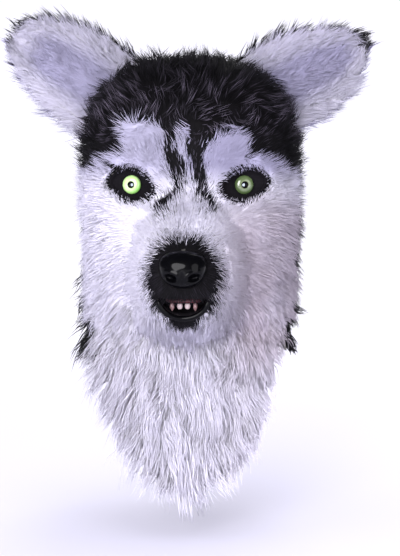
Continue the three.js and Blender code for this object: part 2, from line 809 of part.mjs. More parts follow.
// The path of the lower lip, just outside the edge of the mouth.
function lipPath() {
  const path = [];
  for (let i = 0; i <= mouthSteps; i++) {
    const turn = THREE.MathUtils.lerp(Math.PI + 0.12, 2 * Math.PI - 0.12, i / mouthSteps);
    const x = Math.cos(turn) * mouthHalfWidth;
    const z = -mouthTopDrop + Math.sin(turn) * (mouthDepth + 1);
    path.push(new THREE.Vector3(x, muzzleFront(x, z) - lipRadius, z));
  }
  return path;
}

// A turned piece that faces the front: its profile's second column is the distance from its back.
function turnedFront(profile, sides) {
  const geometry = new THREE.LatheGeometry(profile.map(([r, y]) => new THREE.Vector2(r, y)), sides);
  return geometry.rotateX(Math.PI);
}

// One eye: a dished dark surround, a domed iris in it and a pupil set in the iris.
function addEye(name, side) {
  const centreY = hoodFront(eyeSpread, -eyeDrop);
  const lean = Math.tan(THREE.MathUtils.degToRad(eyeTurn));
  const floor = (x) => centreY + surroundFloor + lean * (Math.abs(x) - eyeSpread);
  const rim = (x, z) => hoodFront(x, z) - surroundStandOut;
  const outer = eyeOutline(side);
  const inner = eyeOutline(side, -surroundRim);
  addPiece(`eye_surround_${name}`, 'darkSocket', ringSolid([
    atDepth(outer, (x) => floor(x) + surroundWall),
    atDepth(outer, rim),
    atDepth(inner, rim),
    atDepth(eyeOutline(side, -surroundRim, 0.86), floor),
  ]));
  const turn = side * THREE.MathUtils.degToRad(eyeTurn);
  const backY = floor(eyeSpread) - pieceGap;
  const place = (geometry, standOff) => (
    toSolid(geometry.translate(0, -standOff, 0).rotateZ(turn).translate(side * eyeSpread, backY, -eyeDrop))
  );
  const recess = pupilRadius + pieceGap;
  const irisProfile = [
    [0, 0],
    [irisRadius, 0],
    [irisRadius, irisEdge],
    [0.8 * irisRadius, irisEdge + 0.55 * irisDome],
    [recess, irisEdge + irisDome],
    [recess, irisEdge + irisDome - pupilHeight],
    [0, irisEdge + irisDome - pupilHeight],
  ];
  addPiece(`iris_${name}`, 'iris', place(turnedFront(irisProfile, roundSides), 0));
  const pupilTop = pupilHeight - pieceGap + pupilStandOut;
  const pupilProfile = [
    [0, 0],
    [pupilRadius, 0],
    [pupilRadius, pupilTop - pupilStep],
    [0.6 * pupilRadius, pupilTop],
    [0.45 * pupilRadius, pupilTop - pupilStep],
    [0, pupilTop - pupilStep],
  ];
  const pupilBack = irisEdge + irisDome - pupilHeight + pieceGap;
  addPiece(`pupil_${name}`, 'glossBlack', place(turnedFront(pupilProfile, smallSides), pupilBack));
}

// How far an ear's two layers lie before its middle sheet
const backSlab = { low: -(earWall + earPile), high: 0 };
const liningSlab = { low: pieceGap, high: pieceGap + 0.6 * earPile };

// One ear: a dark furred back with wisps round the rim, and a white furred lining before it. Both
// are cut to follow the hood's cloth.
function addEar(name, ear, hoodClearance) {
  const back = earSlab(ear, { ...backSlab, fur: -1 }).add(earWisps(ear));
  const lining = earSlab(ear, { ...liningSlab, fur: 1 });
  addPiece(`ear_back_${name}`, 'darkFur', back.subtract(hoodClearance));
  addPiece(`ear_lining_${name}`, 'whiteFur', lining.subtract(hoodClearance));
}

// The room that an ear's root takes out of the fur.
function earSlot(ear) {
  const low = backSlab.low - pieceGap;
  const high = liningSlab.high + pieceGap;
  return earSlab(ear, { low, high, margin: pieceGap, toRow: earNet.rootRows });
}

// The cloth and the fur as whole layers, before the seams divide them
const clothOuter = hoodForm(clothNet, () => 0).add(muzzleForm(() => 0));
const clothInner = hoodForm(clothNet, () => -clothWall).add(muzzleForm(() => -clothWall));
const furFloor = hoodForm(clothNet, () => pieceGap).add(muzzleForm(() => pieceGap));
const furTop = hoodForm(
  furNet,
  (point) => 0.6 * pileOver(point),
  (point) => ({ standOut: 0.5 * pileOver(point), hang: 0.7 }),
).add(muzzleForm(() => 0.6 * muzzlePile, () => ({ standOut: 0.55 * muzzlePile, hang: 0.6 })));
const cloth = clothOuter.subtract(clothInner);

// What cuts the layers into panels and makes room for the hard pieces
const whiteFront = frontPrism(whiteOutline(), farFront, sideSeamY);
const whiteFrontGrown = frontPrism(grown(whiteOutline(), pieceGap), farFront, sideSeamY + pieceGap);
const muzzleBackY = muzzleRoot - 0.6 * muzzleReach;
const darkMuzzle = frontPrism(darkMuzzleOutline(), farFront, muzzleBackY);
const darkMuzzleGrown = frontPrism(grown(darkMuzzleOutline(), pieceGap), farFront, muzzleBackY + pieceGap);
const chin = frontPrism(chinOutline(), farFront, chinBackY);
const chinGrown = frontPrism(grown(chinOutline(), pieceGap), farFront, chinBackY + pieceGap);
const eyeHoles = joined([-1, 1].map((side) => (
  frontPrism(eyeOutline(side, pieceGap), farFront, eyeHoleBackY)
)));
const mouthHole = frontPrism(mouthOutline(pieceGap), farFront, mouthBackY);
const noseRoom = noseForm(pieceGap);
const lipRoom = rod(lipPath(), lipRadius + pieceGap);
const frontBelowJaw = frontPrism(belowJawOutline(), farFront, sideSeamY);
const bibZone = frontPrism(grown(belowJawOutline(), -pieceGap), farFront, 0);
const belowHem = block([-farSide, farFront, farDown], [farSide, farSide, -hoodDrop]);
const backBelowNapeSeam = block([-farSide, sideSeamY, farDown], [farSide, farSide, -napeSeamDrop]);
const napeZone = block(
  [-farSide, sideSeamY + pieceGap, -hoodDrop],
  [farSide, farSide, -napeSeamDrop - pieceGap],
);
const earSlots = joined(Object.values(ears).map(earSlot));
const openings = eyeHoles.add(mouthHole);
const fur = furTop.subtract(furFloor).subtract(openings).subtract(noseRoom.add(lipRoom));
const face = fur.intersect(whiteFront).subtract(frontBelowJaw);

addPiece('hood_backing', 'cloth', cloth.subtract(belowHem).subtract(frontBelowJaw).subtract(openings));
addPiece('bib_backing', 'cloth', cloth.intersect(frontPrism(bibOutline(0), farFront, 0)).intersect(bibZone));
addPiece('crown_fur', 'darkFur', fur.subtract(whiteFrontGrown).subtract(backBelowNapeSeam)
  .subtract(earSlots));
addPiece('nape_fur', 'darkFur', fur.intersect(napeZone).add(napeLocks().subtract(furFloor)));
addPiece('face_fur', 'whiteFur', face.add(cheekLocks().subtract(furFloor)).subtract(darkMuzzleGrown)
  .subtract(chinGrown).subtract(earSlots));
addPiece('muzzle_fur', 'darkFur', face.intersect(darkMuzzle).subtract(chinGrown));
addPiece('chin_fur', 'darkFur', face.intersect(chin));
addPiece('bib_fur', 'whiteFur', fur.intersect(frontPrism(bibOutline(bibFurMargin), farFront, 0))
  .add(bibLocks().subtract(furFloor)).intersect(bibZone));
const earClearance = hoodForm(clothNet, () => pieceGap);
for (const [name, ear] of Object.entries(ears)) addEar(name, ear, earClearance);
addEye('left', 1);
addEye('right', -1);
addPiece('nose', 'glossBlack', noseForm(0).subtract(nostrils()).subtract(furFloor));
addPiece('lower_lip', 'glossBlack', rod(lipPath(), lipRadius).subtract(furFloor));
const mouthFrontY = Math.max(...lipPath().map(({ y }) => y)) + lipRadius + pieceGap;
addPiece('mouth_lining', 'darkSocket', ringSolid([
  atDepth(mouthOutline(0), () => mouthBackY),
  atDepth(mouthOutline(0), () => mouthFrontY),
  atDepth(mouthOutline(-liningWall), () => mouthFrontY),
  atDepth(mouthOutline(-liningWall), () => mouthBackY - liningWall),
]));

const gumPath = [-1, -0.5, 0, 0.5, 1].map((share) => (
  new THREE.Vector3(share * gumHalfWidth, gumY + gumBow * share * share, -gumDrop)
));
addPiece('upper_gum', 'gum', rod(gumPath, gumRadius));
[-1.5, -0.5, 0.5, 1.5].forEach((step, k) => {
  const length = Math.abs(step) > 1 ? fangLength : frontToothLength;
  const tip = Math.abs(step) > 1 ? 0.18 : 0.55;
  const profile = [[0, -length], [tip * toothRadius, -0.94 * length], [0.85 * toothRadius, -0.55 * length],
    [toothRadius, -0.2 * length], [0.8 * toothRadius, 0], [0, 0]];
  const geometry = new THREE.LatheGeometry(profile.map(([r, z]) => new THREE.Vector2(r, z)), smallSides);
  const x = step * toothPitch;
  const y = gumY + gumBow * (x / gumHalfWidth) ** 2;
  geometry.rotateX(Math.PI / 2).translate(x, y, -gumDrop - gumRadius - pieceGap);
  addPiece(`tooth_${k + 1}`, 'tooth', toSolid(geometry));
});

export default mask;
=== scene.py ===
"""A furry wolf mask for the whole head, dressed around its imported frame.

Lengths are metres, +Z is up and the face looks along -Y. Left and right are the wearer's, so left is
+X. The origin is where the crown of the wearer's head touches the hood.
"""
from __future__ import annotations

import logging
import math
from dataclasses import dataclass, field
from enum import Enum

import bmesh
import bpy
import numpy as np
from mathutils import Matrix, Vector


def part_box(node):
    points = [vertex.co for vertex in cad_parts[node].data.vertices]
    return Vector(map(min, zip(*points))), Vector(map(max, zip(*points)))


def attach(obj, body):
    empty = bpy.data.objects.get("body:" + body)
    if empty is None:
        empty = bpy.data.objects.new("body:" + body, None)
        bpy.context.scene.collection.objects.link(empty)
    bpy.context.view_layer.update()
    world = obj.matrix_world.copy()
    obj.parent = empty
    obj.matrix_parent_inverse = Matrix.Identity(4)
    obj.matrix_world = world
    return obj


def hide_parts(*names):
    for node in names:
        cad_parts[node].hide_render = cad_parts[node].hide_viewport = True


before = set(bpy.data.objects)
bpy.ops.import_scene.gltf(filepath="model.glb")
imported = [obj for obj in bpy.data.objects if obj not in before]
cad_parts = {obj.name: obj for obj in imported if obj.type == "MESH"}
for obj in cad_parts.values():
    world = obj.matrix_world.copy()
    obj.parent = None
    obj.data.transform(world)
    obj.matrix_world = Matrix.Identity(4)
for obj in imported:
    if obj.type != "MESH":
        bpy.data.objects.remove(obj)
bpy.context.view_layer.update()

LOG = logging.getLogger("wolf_mask")
MM = 0.001
BODY = "root"
IMAGE_HEIGHT = 556

Color = tuple[float, float, float]
Socket = bpy.types.NodeSocket


class Side(Enum):
    """One of the wearer's two sides, with the sign of its X."""

    LEFT = 1
    RIGHT = -1

    @property
    def word(self) -> str:
        """The side as the nodes' names spell it."""
        return self.name.lower()


class Wiring:
    """Adds nodes to a tree and feeds their sockets with values or links."""

    def __init__(self, tree: bpy.types.NodeTree) -> None:
        """Start wiring.

        Args:
            tree: The node tree that receives the nodes.
        """
        self.tree = tree

    def feed(self, socket: Socket, value: object) -> None:
        """Link a socket into another, or set its value.

        Args:
            socket: The input to feed.
            value: A socket to link, or a plain value.
        """
        if isinstance(value, bpy.types.NodeSocket):
            self.tree.links.new(value, socket)
        else:
            socket.default_value = value

    def add(self, kind: str, settings: dict | None = None, inputs: dict | None = None) -> bpy.types.Node:
        """Add one node.

        Args:
            kind: The node's type.
            settings: Its properties by name.
            inputs: Its inputs by name or place.

        Returns:
            The new node.
        """
        node = self.tree.nodes.new(kind)
        for name, value in (settings or {}).items():
            setattr(node, name, value)
        for key, value in (inputs or {}).items():
            self.feed(node.inputs[key], value)
        return node

    def math(self, operation: str, a: object, b: object = 0.0, clamp: bool = False) -> Socket:
        """Add a Math node and return its result."""
        settings = {"operation": operation, "use_clamp": clamp}
        return self.add("ShaderNodeMath", settings, {0: a, 1: b}).outputs[0]

    def vector(self, operation: str, a: object, b: object = (0.0, 0.0, 0.0)) -> Socket:
        """Add a Vector Math node on two vectors and return its result."""
        return self.add("ShaderNodeVectorMath", {"operation": operation}, {0: a, 1: b}).outputs[0]

    def scaled(self, vector: object, factor: object) -> Socket:
        """Return a vector times a number."""
        node = self.add("ShaderNodeVectorMath", {"operation": "SCALE"}, {0: vector, "Scale": factor})
        return node.outputs[0]

    def mix(self, kind: str, factor: object, a: object, b: object) -> Socket:
        """Blend two numbers, vectors or colours.

        Args:
            kind: FLOAT, VECTOR or RGBA.
            factor: How much of b shows.
            a: The value at 0.
            b: The value at 1.

        Returns:
            The blended value.
        """
        first = {"FLOAT": 2, "VECTOR": 4, "RGBA": 6}[kind]
        out = {"FLOAT": 0, "VECTOR": 1, "RGBA": 2}[kind]
        node = self.add("ShaderNodeMix", {"data_type": kind}, {0: factor, first: a, first + 1: b})
        return node.outputs[out]

    def stored(self, name: str, out: str = "Fac") -> Socket:
        """Read a named attribute in a material."""
        return self.add("ShaderNodeAttribute", {"attribute_name": name}).outputs[out]

    def noise(self, vector: object, scale: object, detail: float, out: str | int = 0) -> Socket:
        """Add a Noise Texture on a vector and return one of its outputs."""
        inputs = {"Vector": vector, "Scale": scale, "Detail": detail}
        return self.add("ShaderNodeTexNoise", None, inputs).outputs[out]

    def ramp(self, value: object, low: float, high: float, start: float = 0.0, end: float = 1.0) -> Socket:
        """Ease a value from start to end while it goes from low to high.

        Args:
            value: The value to ease.
            low: Where the result is still start.
            high: Where the result has reached end.
            start: The result below low.
            end: The result above high.

        Returns:
            The eased value.
        """
        settings = {"interpolation_type": "SMOOTHSTEP"}
        inputs = {"Value": value, "From Min": low, "From Max": high, "To Min": start, "To Max": end}
        return self.add("ShaderNodeMapRange", settings, inputs).outputs["Result"]


def smoothstep(value: np.ndarray, low: float, high: float) -> np.ndarray:
    """Ease from 0 at low to 1 at high."""
    share = np.clip((value - low) / (high - low), 0.0, 1.0)
    return share * share * (3.0 - 2.0 * share)


def unit(vectors: np.ndarray) -> np.ndarray:
    """Scale each row to length 1."""
    return vectors / np.maximum(np.linalg.norm(vectors, axis=-1, keepdims=True), 1e-9)


@dataclass(frozen=True)
class Profile:
    """A table of shares, smooth between its rows. The first column is the one that it is read by."""

    columns: tuple[str, ...]
    rows: tuple[tuple[float, ...], ...]

    def at(self, value: np.ndarray) -> dict[str, np.ndarray]:
        """Read the table.

        Args:
            value: Places along the first column.

        Returns:
            Every other column at those places.
        """
        table = np.array(self.rows)
        keys, cells = table[:, 0], table[:, 1:]
        index = np.clip(np.searchsorted(keys, value, side="right") - 1, 0, len(keys) - 2)
        span = keys[index + 1] - keys[index]
        share = np.clip((value - keys[index]) / span, 0.0, 1.0)[..., None]
        before = np.maximum(np.arange(len(keys)) - 1, 0)
        after = np.minimum(np.arange(len(keys)) + 1, len(keys) - 1)
        slopes = (cells[after] - cells[before]) / (keys[after] - keys[before])[:, None]
        square, cube = share**2, share**3
        mixed = (2 * cube - 3 * square + 1) * cells[index] + (3 * square - 2 * cube) * cells[index + 1]
        start = (cube - 2 * square + share) * slopes[index] * span[..., None]
        end = (cube - square) * slopes[index + 1] * span[..., None]
        mixed = mixed + start + end
        return {name: mixed[..., k] for k, name in enumerate(self.columns[1:])}


def curve_through(places: np.ndarray, steps: int) -> np.ndarray:
    """Run a smooth line through a few places.

    Args:
        places: The places, one a row.
        steps: How many stretches lie between two places.

    Returns:
        The points of the line.
    """
    padded = np.vstack([places[0], places, places[-1]])
    share = np.linspace(0.0, 1.0, steps, endpoint=False)[:, None]
    runs = []
    for a, b, c, d in zip(padded, padded[1:], padded[2:], padded[3:]):
        bend = (2 * a - 5 * b + 4 * c - d) * share**2 + (3 * b - a - 3 * c + d) * share**3
        runs.append(0.5 * (2 * b + (c - a) * share + bend))
    return np.vstack([*runs, places[-1:]])


@dataclass
class Outline:
    """A closed outline in the front view."""

    points: np.ndarray

    def inset(self, x: np.ndarray, z: np.ndarray) -> np.ndarray:
        """Measure how far places lie inside the outline.

        Args:
            x: Their X.
            z: Their Z.

        Returns:
            The distance to the outline, negative outside it.
        """
        start, end = self.points, np.roll(self.points, -1, axis=0)
        side = end - start
        nearest = np.full(x.shape, np.inf)
        inside = np.zeros(x.shape, dtype=bool)
        for (ax, az), (sx, sz) in zip(start, side):
            dx, dz = x - ax, z - az
            share = np.clip((dx * sx + dz * sz) / max(sx * sx + sz * sz, 1e-12), 0.0, 1.0)
            nearest = np.minimum(nearest, np.hypot(dx - share * sx, dz - share * sz))
            if abs(sz) > 1e-12:
                inside ^= ((az > z) != (az + sz > z)) & (x < ax + sx * (z - az) / sz)
        return np.where(inside, nearest, -nearest)


def mirrored(half: np.ndarray) -> np.ndarray:
    """Close an outline whose +X half runs from the top to the bottom."""
    other = half[::-1] * np.array([-1.0, 1.0])
    return np.vstack([half, other[np.abs(other[:, 0]) > 1e-6]])


HOOD_ROWS = Profile(
    ("drop", "width", "front", "back"),
    (
        (0.0, 0.0, 0.0, 0.0),
        (0.014, 0.38, 0.36, 0.36),
        (0.05, 0.63, 0.6, 0.62),
        (0.105, 0.82, 0.77, 0.8),
        (0.18, 0.94, 0.9, 0.93),
        (0.28, 1.0, 0.98, 1.0),
        (0.4, 1.0, 1.0, 1.02),
        (0.52, 1.0, 1.02, 0.99),
        (0.66, 0.98, 1.0, 0.92),
        (0.8, 0.96, 0.93, 0.87),
        (0.91, 0.96, 0.89, 0.92),
        (1.0, 0.98, 0.92, 1.0),
        (1.14, 1.0, 1.02, 1.06),
        (1.3, 1.0, 1.12, 1.08),
        (1.46, 1.0, 1.18, 1.08),
    ),
)
MUZZLE_ROWS = Profile(
    ("reach", "width", "top", "bottom"),
    (
        (0.0, 1.06, 0.0, 1.0),
        (0.22, 1.03, 0.07, 0.97),
        (0.45, 0.93, 0.16, 0.925),
        (0.66, 0.81, 0.235, 0.885),
        (0.83, 0.7, 0.29, 0.845),
        (0.93, 0.58, 0.33, 0.79),
        (0.985, 0.38, 0.4, 0.7),
        (1.0, 0.0, 0.56, 0.56),
    ),
)


@dataclass
class HeadShape:
    """The hood's cloth with its muzzle, as smooth forms that the fur is sewn to."""

    half_width: float = 120 * MM
    face_reach: float = 110 * MM
    nape_reach: float = 114 * MM
    hood_drop: float = 345 * MM
    wall: float = 2.5 * MM
    roundness: float = 2.4
    muzzle_root: float = -80 * MM
    muzzle_reach: float = 144 * MM
    muzzle_half_width: float = 58 * MM
    muzzle_top: float = -150 * MM
    muzzle_height: float = 166 * MM
    eye_spread: float = 64 * MM
    eye_drop: float = 141 * MM
    eye_half_width: float = 27 * MM
    eye_half_height: float = 20 * MM
    eye_dent: float = 10 * MM
    eye_slant: float = 0.14
    mouth_half_width: float = 27 * MM
    mouth_top_drop: float = 258 * MM
    mouth_depth: float = 22 * MM
    mouth_back: float = -174 * MM
    nose_tip: tuple[float, float, float] = (0.0, -226 * MM, -226 * MM)
    voxel: float = 4.5 * MM

    def rounded(self, value: np.ndarray) -> np.ndarray:
        """Turn a sine or cosine into a place on the rounded box section."""
        return np.sign(value) * np.abs(value) ** (2 / self.roundness)

    def socket_dent(self, x: np.ndarray, z: np.ndarray) -> np.ndarray:
        """Work out how deep the eye sockets press in.

        Args:
            x: X in the front view.
            z: Z in the front view.

        Returns:
            The depth there.
        """
        side = (np.abs(x) - self.eye_spread) / (1.1 * self.eye_half_width)
        up = (z + self.eye_drop) / (1.2 * self.eye_half_height)
        return self.eye_dent * np.exp(-(side**2 + up**2))

    def hood(self, turn: np.ndarray, drop: np.ndarray) -> np.ndarray:
        """Points of the hood's cloth.

        Args:
            turn: The angle round the head, 0 at the middle of the face.
            drop: The way down as a share of the hood's drop.

        Returns:
            The points, one a row.
        """
        row = HOOD_ROWS.at(drop)
        x = row["width"] * self.half_width * self.rounded(np.sin(turn))
        z = self.wall - drop * self.hood_drop
        front = np.cos(turn) > 0
        reach = np.where(front, -row["front"] * self.face_reach, row["back"] * self.nape_reach)
        y = reach * np.abs(self.rounded(np.cos(turn)))
        return np.stack([x, np.where(front, y + self.socket_dent(x, z), y), z], axis=-1)

    def hood_front(self, x: np.ndarray, z: np.ndarray) -> np.ndarray:
        """Find the hood's cloth at places in the front view.

        Args:
            x: Their X.
            z: Their Z.

        Returns:
            The Y of the cloth there.
        """
        row = HOOD_ROWS.at((self.wall - z) / self.hood_drop)
        share = np.minimum(np.abs(x) / (row["width"] * self.half_width), 0.99)
        depth = (1 - share**self.roundness) ** (1 / self.roundness)
        return -row["front"] * self.face_reach * depth + self.socket_dent(x, z)

    def muzzle(self, turn: np.ndarray, reach: np.ndarray) -> np.ndarray:
        """Points of the muzzle's cloth.

        Args:
            turn: The angle round the muzzle, 0 on the bridge.
            reach: The way forward as a share of the muzzle's reach.

        Returns:
            The points, one a row.
        """
        row = MUZZLE_ROWS.at(reach)
        middle = (row["top"] + row["bottom"]) / 2
        half = (row["bottom"] - row["top"]) / 2
        x = row["width"] * self.muzzle_half_width * self.rounded(np.sin(turn))
        z = self.muzzle_top - self.muzzle_height * (middle - half * self.rounded(np.cos(turn)))
        y = self.muzzle_root - reach * self.muzzle_reach
        return np.stack([x, y, z], axis=-1)

    def muzzle_front(self, x: float, z: float) -> float:
        """Find the muzzle's cloth at one place in the front view by halving its reach.

        Args:
            x: The place's X.
            z: The place's Z.

        Returns:
            The Y of the cloth there.
        """
        near, far = 0.4, 1.0
        for _ in range(24):
            reach = (near + far) / 2
            row = MUZZLE_ROWS.at(np.array(reach))
            up = (self.muzzle_top - z) / self.muzzle_height - (row["top"] + row["bottom"]) / 2
            across = abs(x / (row["width"] * self.muzzle_half_width)) ** self.roundness
            upright = abs(2 * up / (row["bottom"] - row["top"])) ** self.roundness
            near, far = (reach, far) if across + upright < 1 else (near, reach)
        return self.muzzle_root - near * self.muzzle_reach

    def eye_outline(
        self, side: Side, margin: float = 0.0, scale: float = 1.0, count: int = 72
    ) -> np.ndarray:
        """The almond of an eye opening in the front view, anticlockwise there.

        Args:
            side: Which eye.
            margin: How far to stand off outwards.
            scale: The size before the margin.
            count: How many points.

        Returns:
            X and Z, one point a row.
        """
        turn = np.linspace(0, 2 * math.pi, count, endpoint=False)
        across = np.cos(turn) * (self.eye_half_width * scale + margin)
        lid = 1 - 0.3 * np.cos(turn) ** 2
        up = np.sin(turn) * (self.eye_half_height * scale + margin) * lid
        x = side.value * (self.eye_spread + across)
        points = np.stack([x, -self.eye_drop + up + self.eye_slant * across], axis=-1)
        return points if side is Side.LEFT else points[::-1]

    def mouth_outline(self, margin: float = 0.0, steps: int = 40) -> np.ndarray:
        """The half moon of the mouth opening in the front view, anticlockwise there.

        Args:
            margin: How far to stand off outwards.
            steps: How many stretches the lower curve has.

        Returns:
            X and Z, one point a row.
        """
        turn = np.linspace(math.pi, 2 * math.pi, steps + 1)
        x = np.cos(turn) * (self.mouth_half_width + margin)
        z = -self.mouth_top_drop + margin + np.sin(turn) * (self.mouth_depth + 2 * margin)
        return np.stack([x, z], axis=-1)

    def mouth_outline_shape(self) -> Outline:
        """The mouth opening as an outline."""
        return Outline(self.mouth_outline())

    def solid(self) -> bpy.types.Object:
        """Join hood and muzzle into one even, smooth skin.

        Returns:
            A scratch object with the joined form.
        """
        steps = np.linspace(0, 1, 120)
        foot = HOOD_ROWS.rows[-1][0]
        down = foot * steps * steps * (1.2 / (steps + 0.2))
        turns = np.linspace(0, 2 * math.pi, 160, endpoint=False)
        hood = self.hood(*np.meshgrid(turns, down))
        out = 1 - np.linspace(0, 1, 60) ** 1.4
        muzzle = self.muzzle(*np.meshgrid(-turns[::2], out))
        mesh = bpy.data.meshes.new("head_form")
        points, faces = [], []
        for grid in (hood, muzzle):
            add_tube(points, faces, grid)
        mesh.from_pydata(points, [], faces)
        form = bpy.data.objects.new("head_form", mesh)
        bpy.context.scene.collection.objects.link(form)
        remesh = form.modifiers.new("even", "REMESH")
        remesh.mode = "VOXEL"
        remesh.voxel_size = self.voxel
        return form


def add_tube(points: list, faces: list, grid: np.ndarray) -> None:
    """Add a closed round form to lists of points and faces.

    Args:
        points: The list of points to add to.
        faces: The list of faces to add to.
        grid: Rings of points, the first and last of them closed by a fan.
    """
    rows, columns = grid.shape[:2]
    start = len(points)
    points.extend(map(tuple, grid.reshape(-1, 3)))
    for r in range(rows - 1):
        for c in range(columns):
            a, b = start + r * columns + c, start + r * columns + (c + 1) % columns
            faces.append((a, b, b + columns, a + columns))
    for r, flip in ((0, True), (rows - 1, False)):
        hub = len(points)
        points.append(tuple(grid[r].mean(axis=0)))
        for c in range(columns):
            a, b = start + r * columns + c, start + r * columns + (c + 1) % columns
            faces.append((hub, b, a) if flip else (hub, a, b))


def mesh_object(name: str, points: object, faces: object, smooth: bool = True) -> bpy.types.Object:
    """Make an object at the origin from points and faces, with its faces turned outwards.

    Args:
        name: The object's name.
        points: Its points.
        faces: Its faces.
        smooth: Whether its faces are shaded smooth.

    Returns:
        The linked object.
    """
    mesh = bpy.data.meshes.new(name)
    mesh.from_pydata([tuple(point) for point in points], [], [tuple(map(int, face)) for face in faces])
    shell = bmesh.new()
    shell.from_mesh(mesh)
    bmesh.ops.remove_doubles(shell, verts=shell.verts, dist=1e-7)
    bmesh.ops.recalc_face_normals(shell, faces=shell.faces)
    shell.to_mesh(mesh)
    shell.free()
    mesh.polygons.foreach_set("use_smooth", [smooth] * len(mesh.polygons))
    piece = bpy.data.objects.new(name, mesh)
    bpy.context.scene.collection.objects.link(piece)
    return piece


def bake_modifiers(piece: bpy.types.Object) -> None:
    """Turn a piece's modifiers into its plain mesh.

    Args:
        piece: The piece to change.
    """
    bpy.context.view_layer.update()
    graph = bpy.context.evaluated_depsgraph_get()
    mesh = bpy.data.meshes.new_from_object(piece.evaluated_get(graph), depsgraph=graph)
    piece.modifiers.clear()
    piece.data = mesh


def hand_over(piece: bpy.types.Object, slot: str, *nodes: str) -> None:
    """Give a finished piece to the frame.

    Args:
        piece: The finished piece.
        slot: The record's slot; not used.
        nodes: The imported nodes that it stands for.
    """
    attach(piece, BODY)
    if nodes:
        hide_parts(*nodes)
    triangles = sum(len(face.vertices) - 2 for face in piece.data.polygons)
    LOG.info("%s: %d triangles", piece.name, triangles)


def attribute(mesh: bpy.types.Mesh, name: str, values: np.ndarray) -> None:
    """Store one number or one vector for each vertex.

    Args:
        mesh: The mesh that receives them.
        name: The attribute's name.
        values: The numbers, or the vectors one a row.
    """
    kind = "FLOAT_VECTOR" if values.ndim == 2 else "FLOAT"
    layer = mesh.attributes.new(name, kind, "POINT")
    layer.data.foreach_set("vector" if values.ndim == 2 else "value", values.astype(np.float32).ravel())


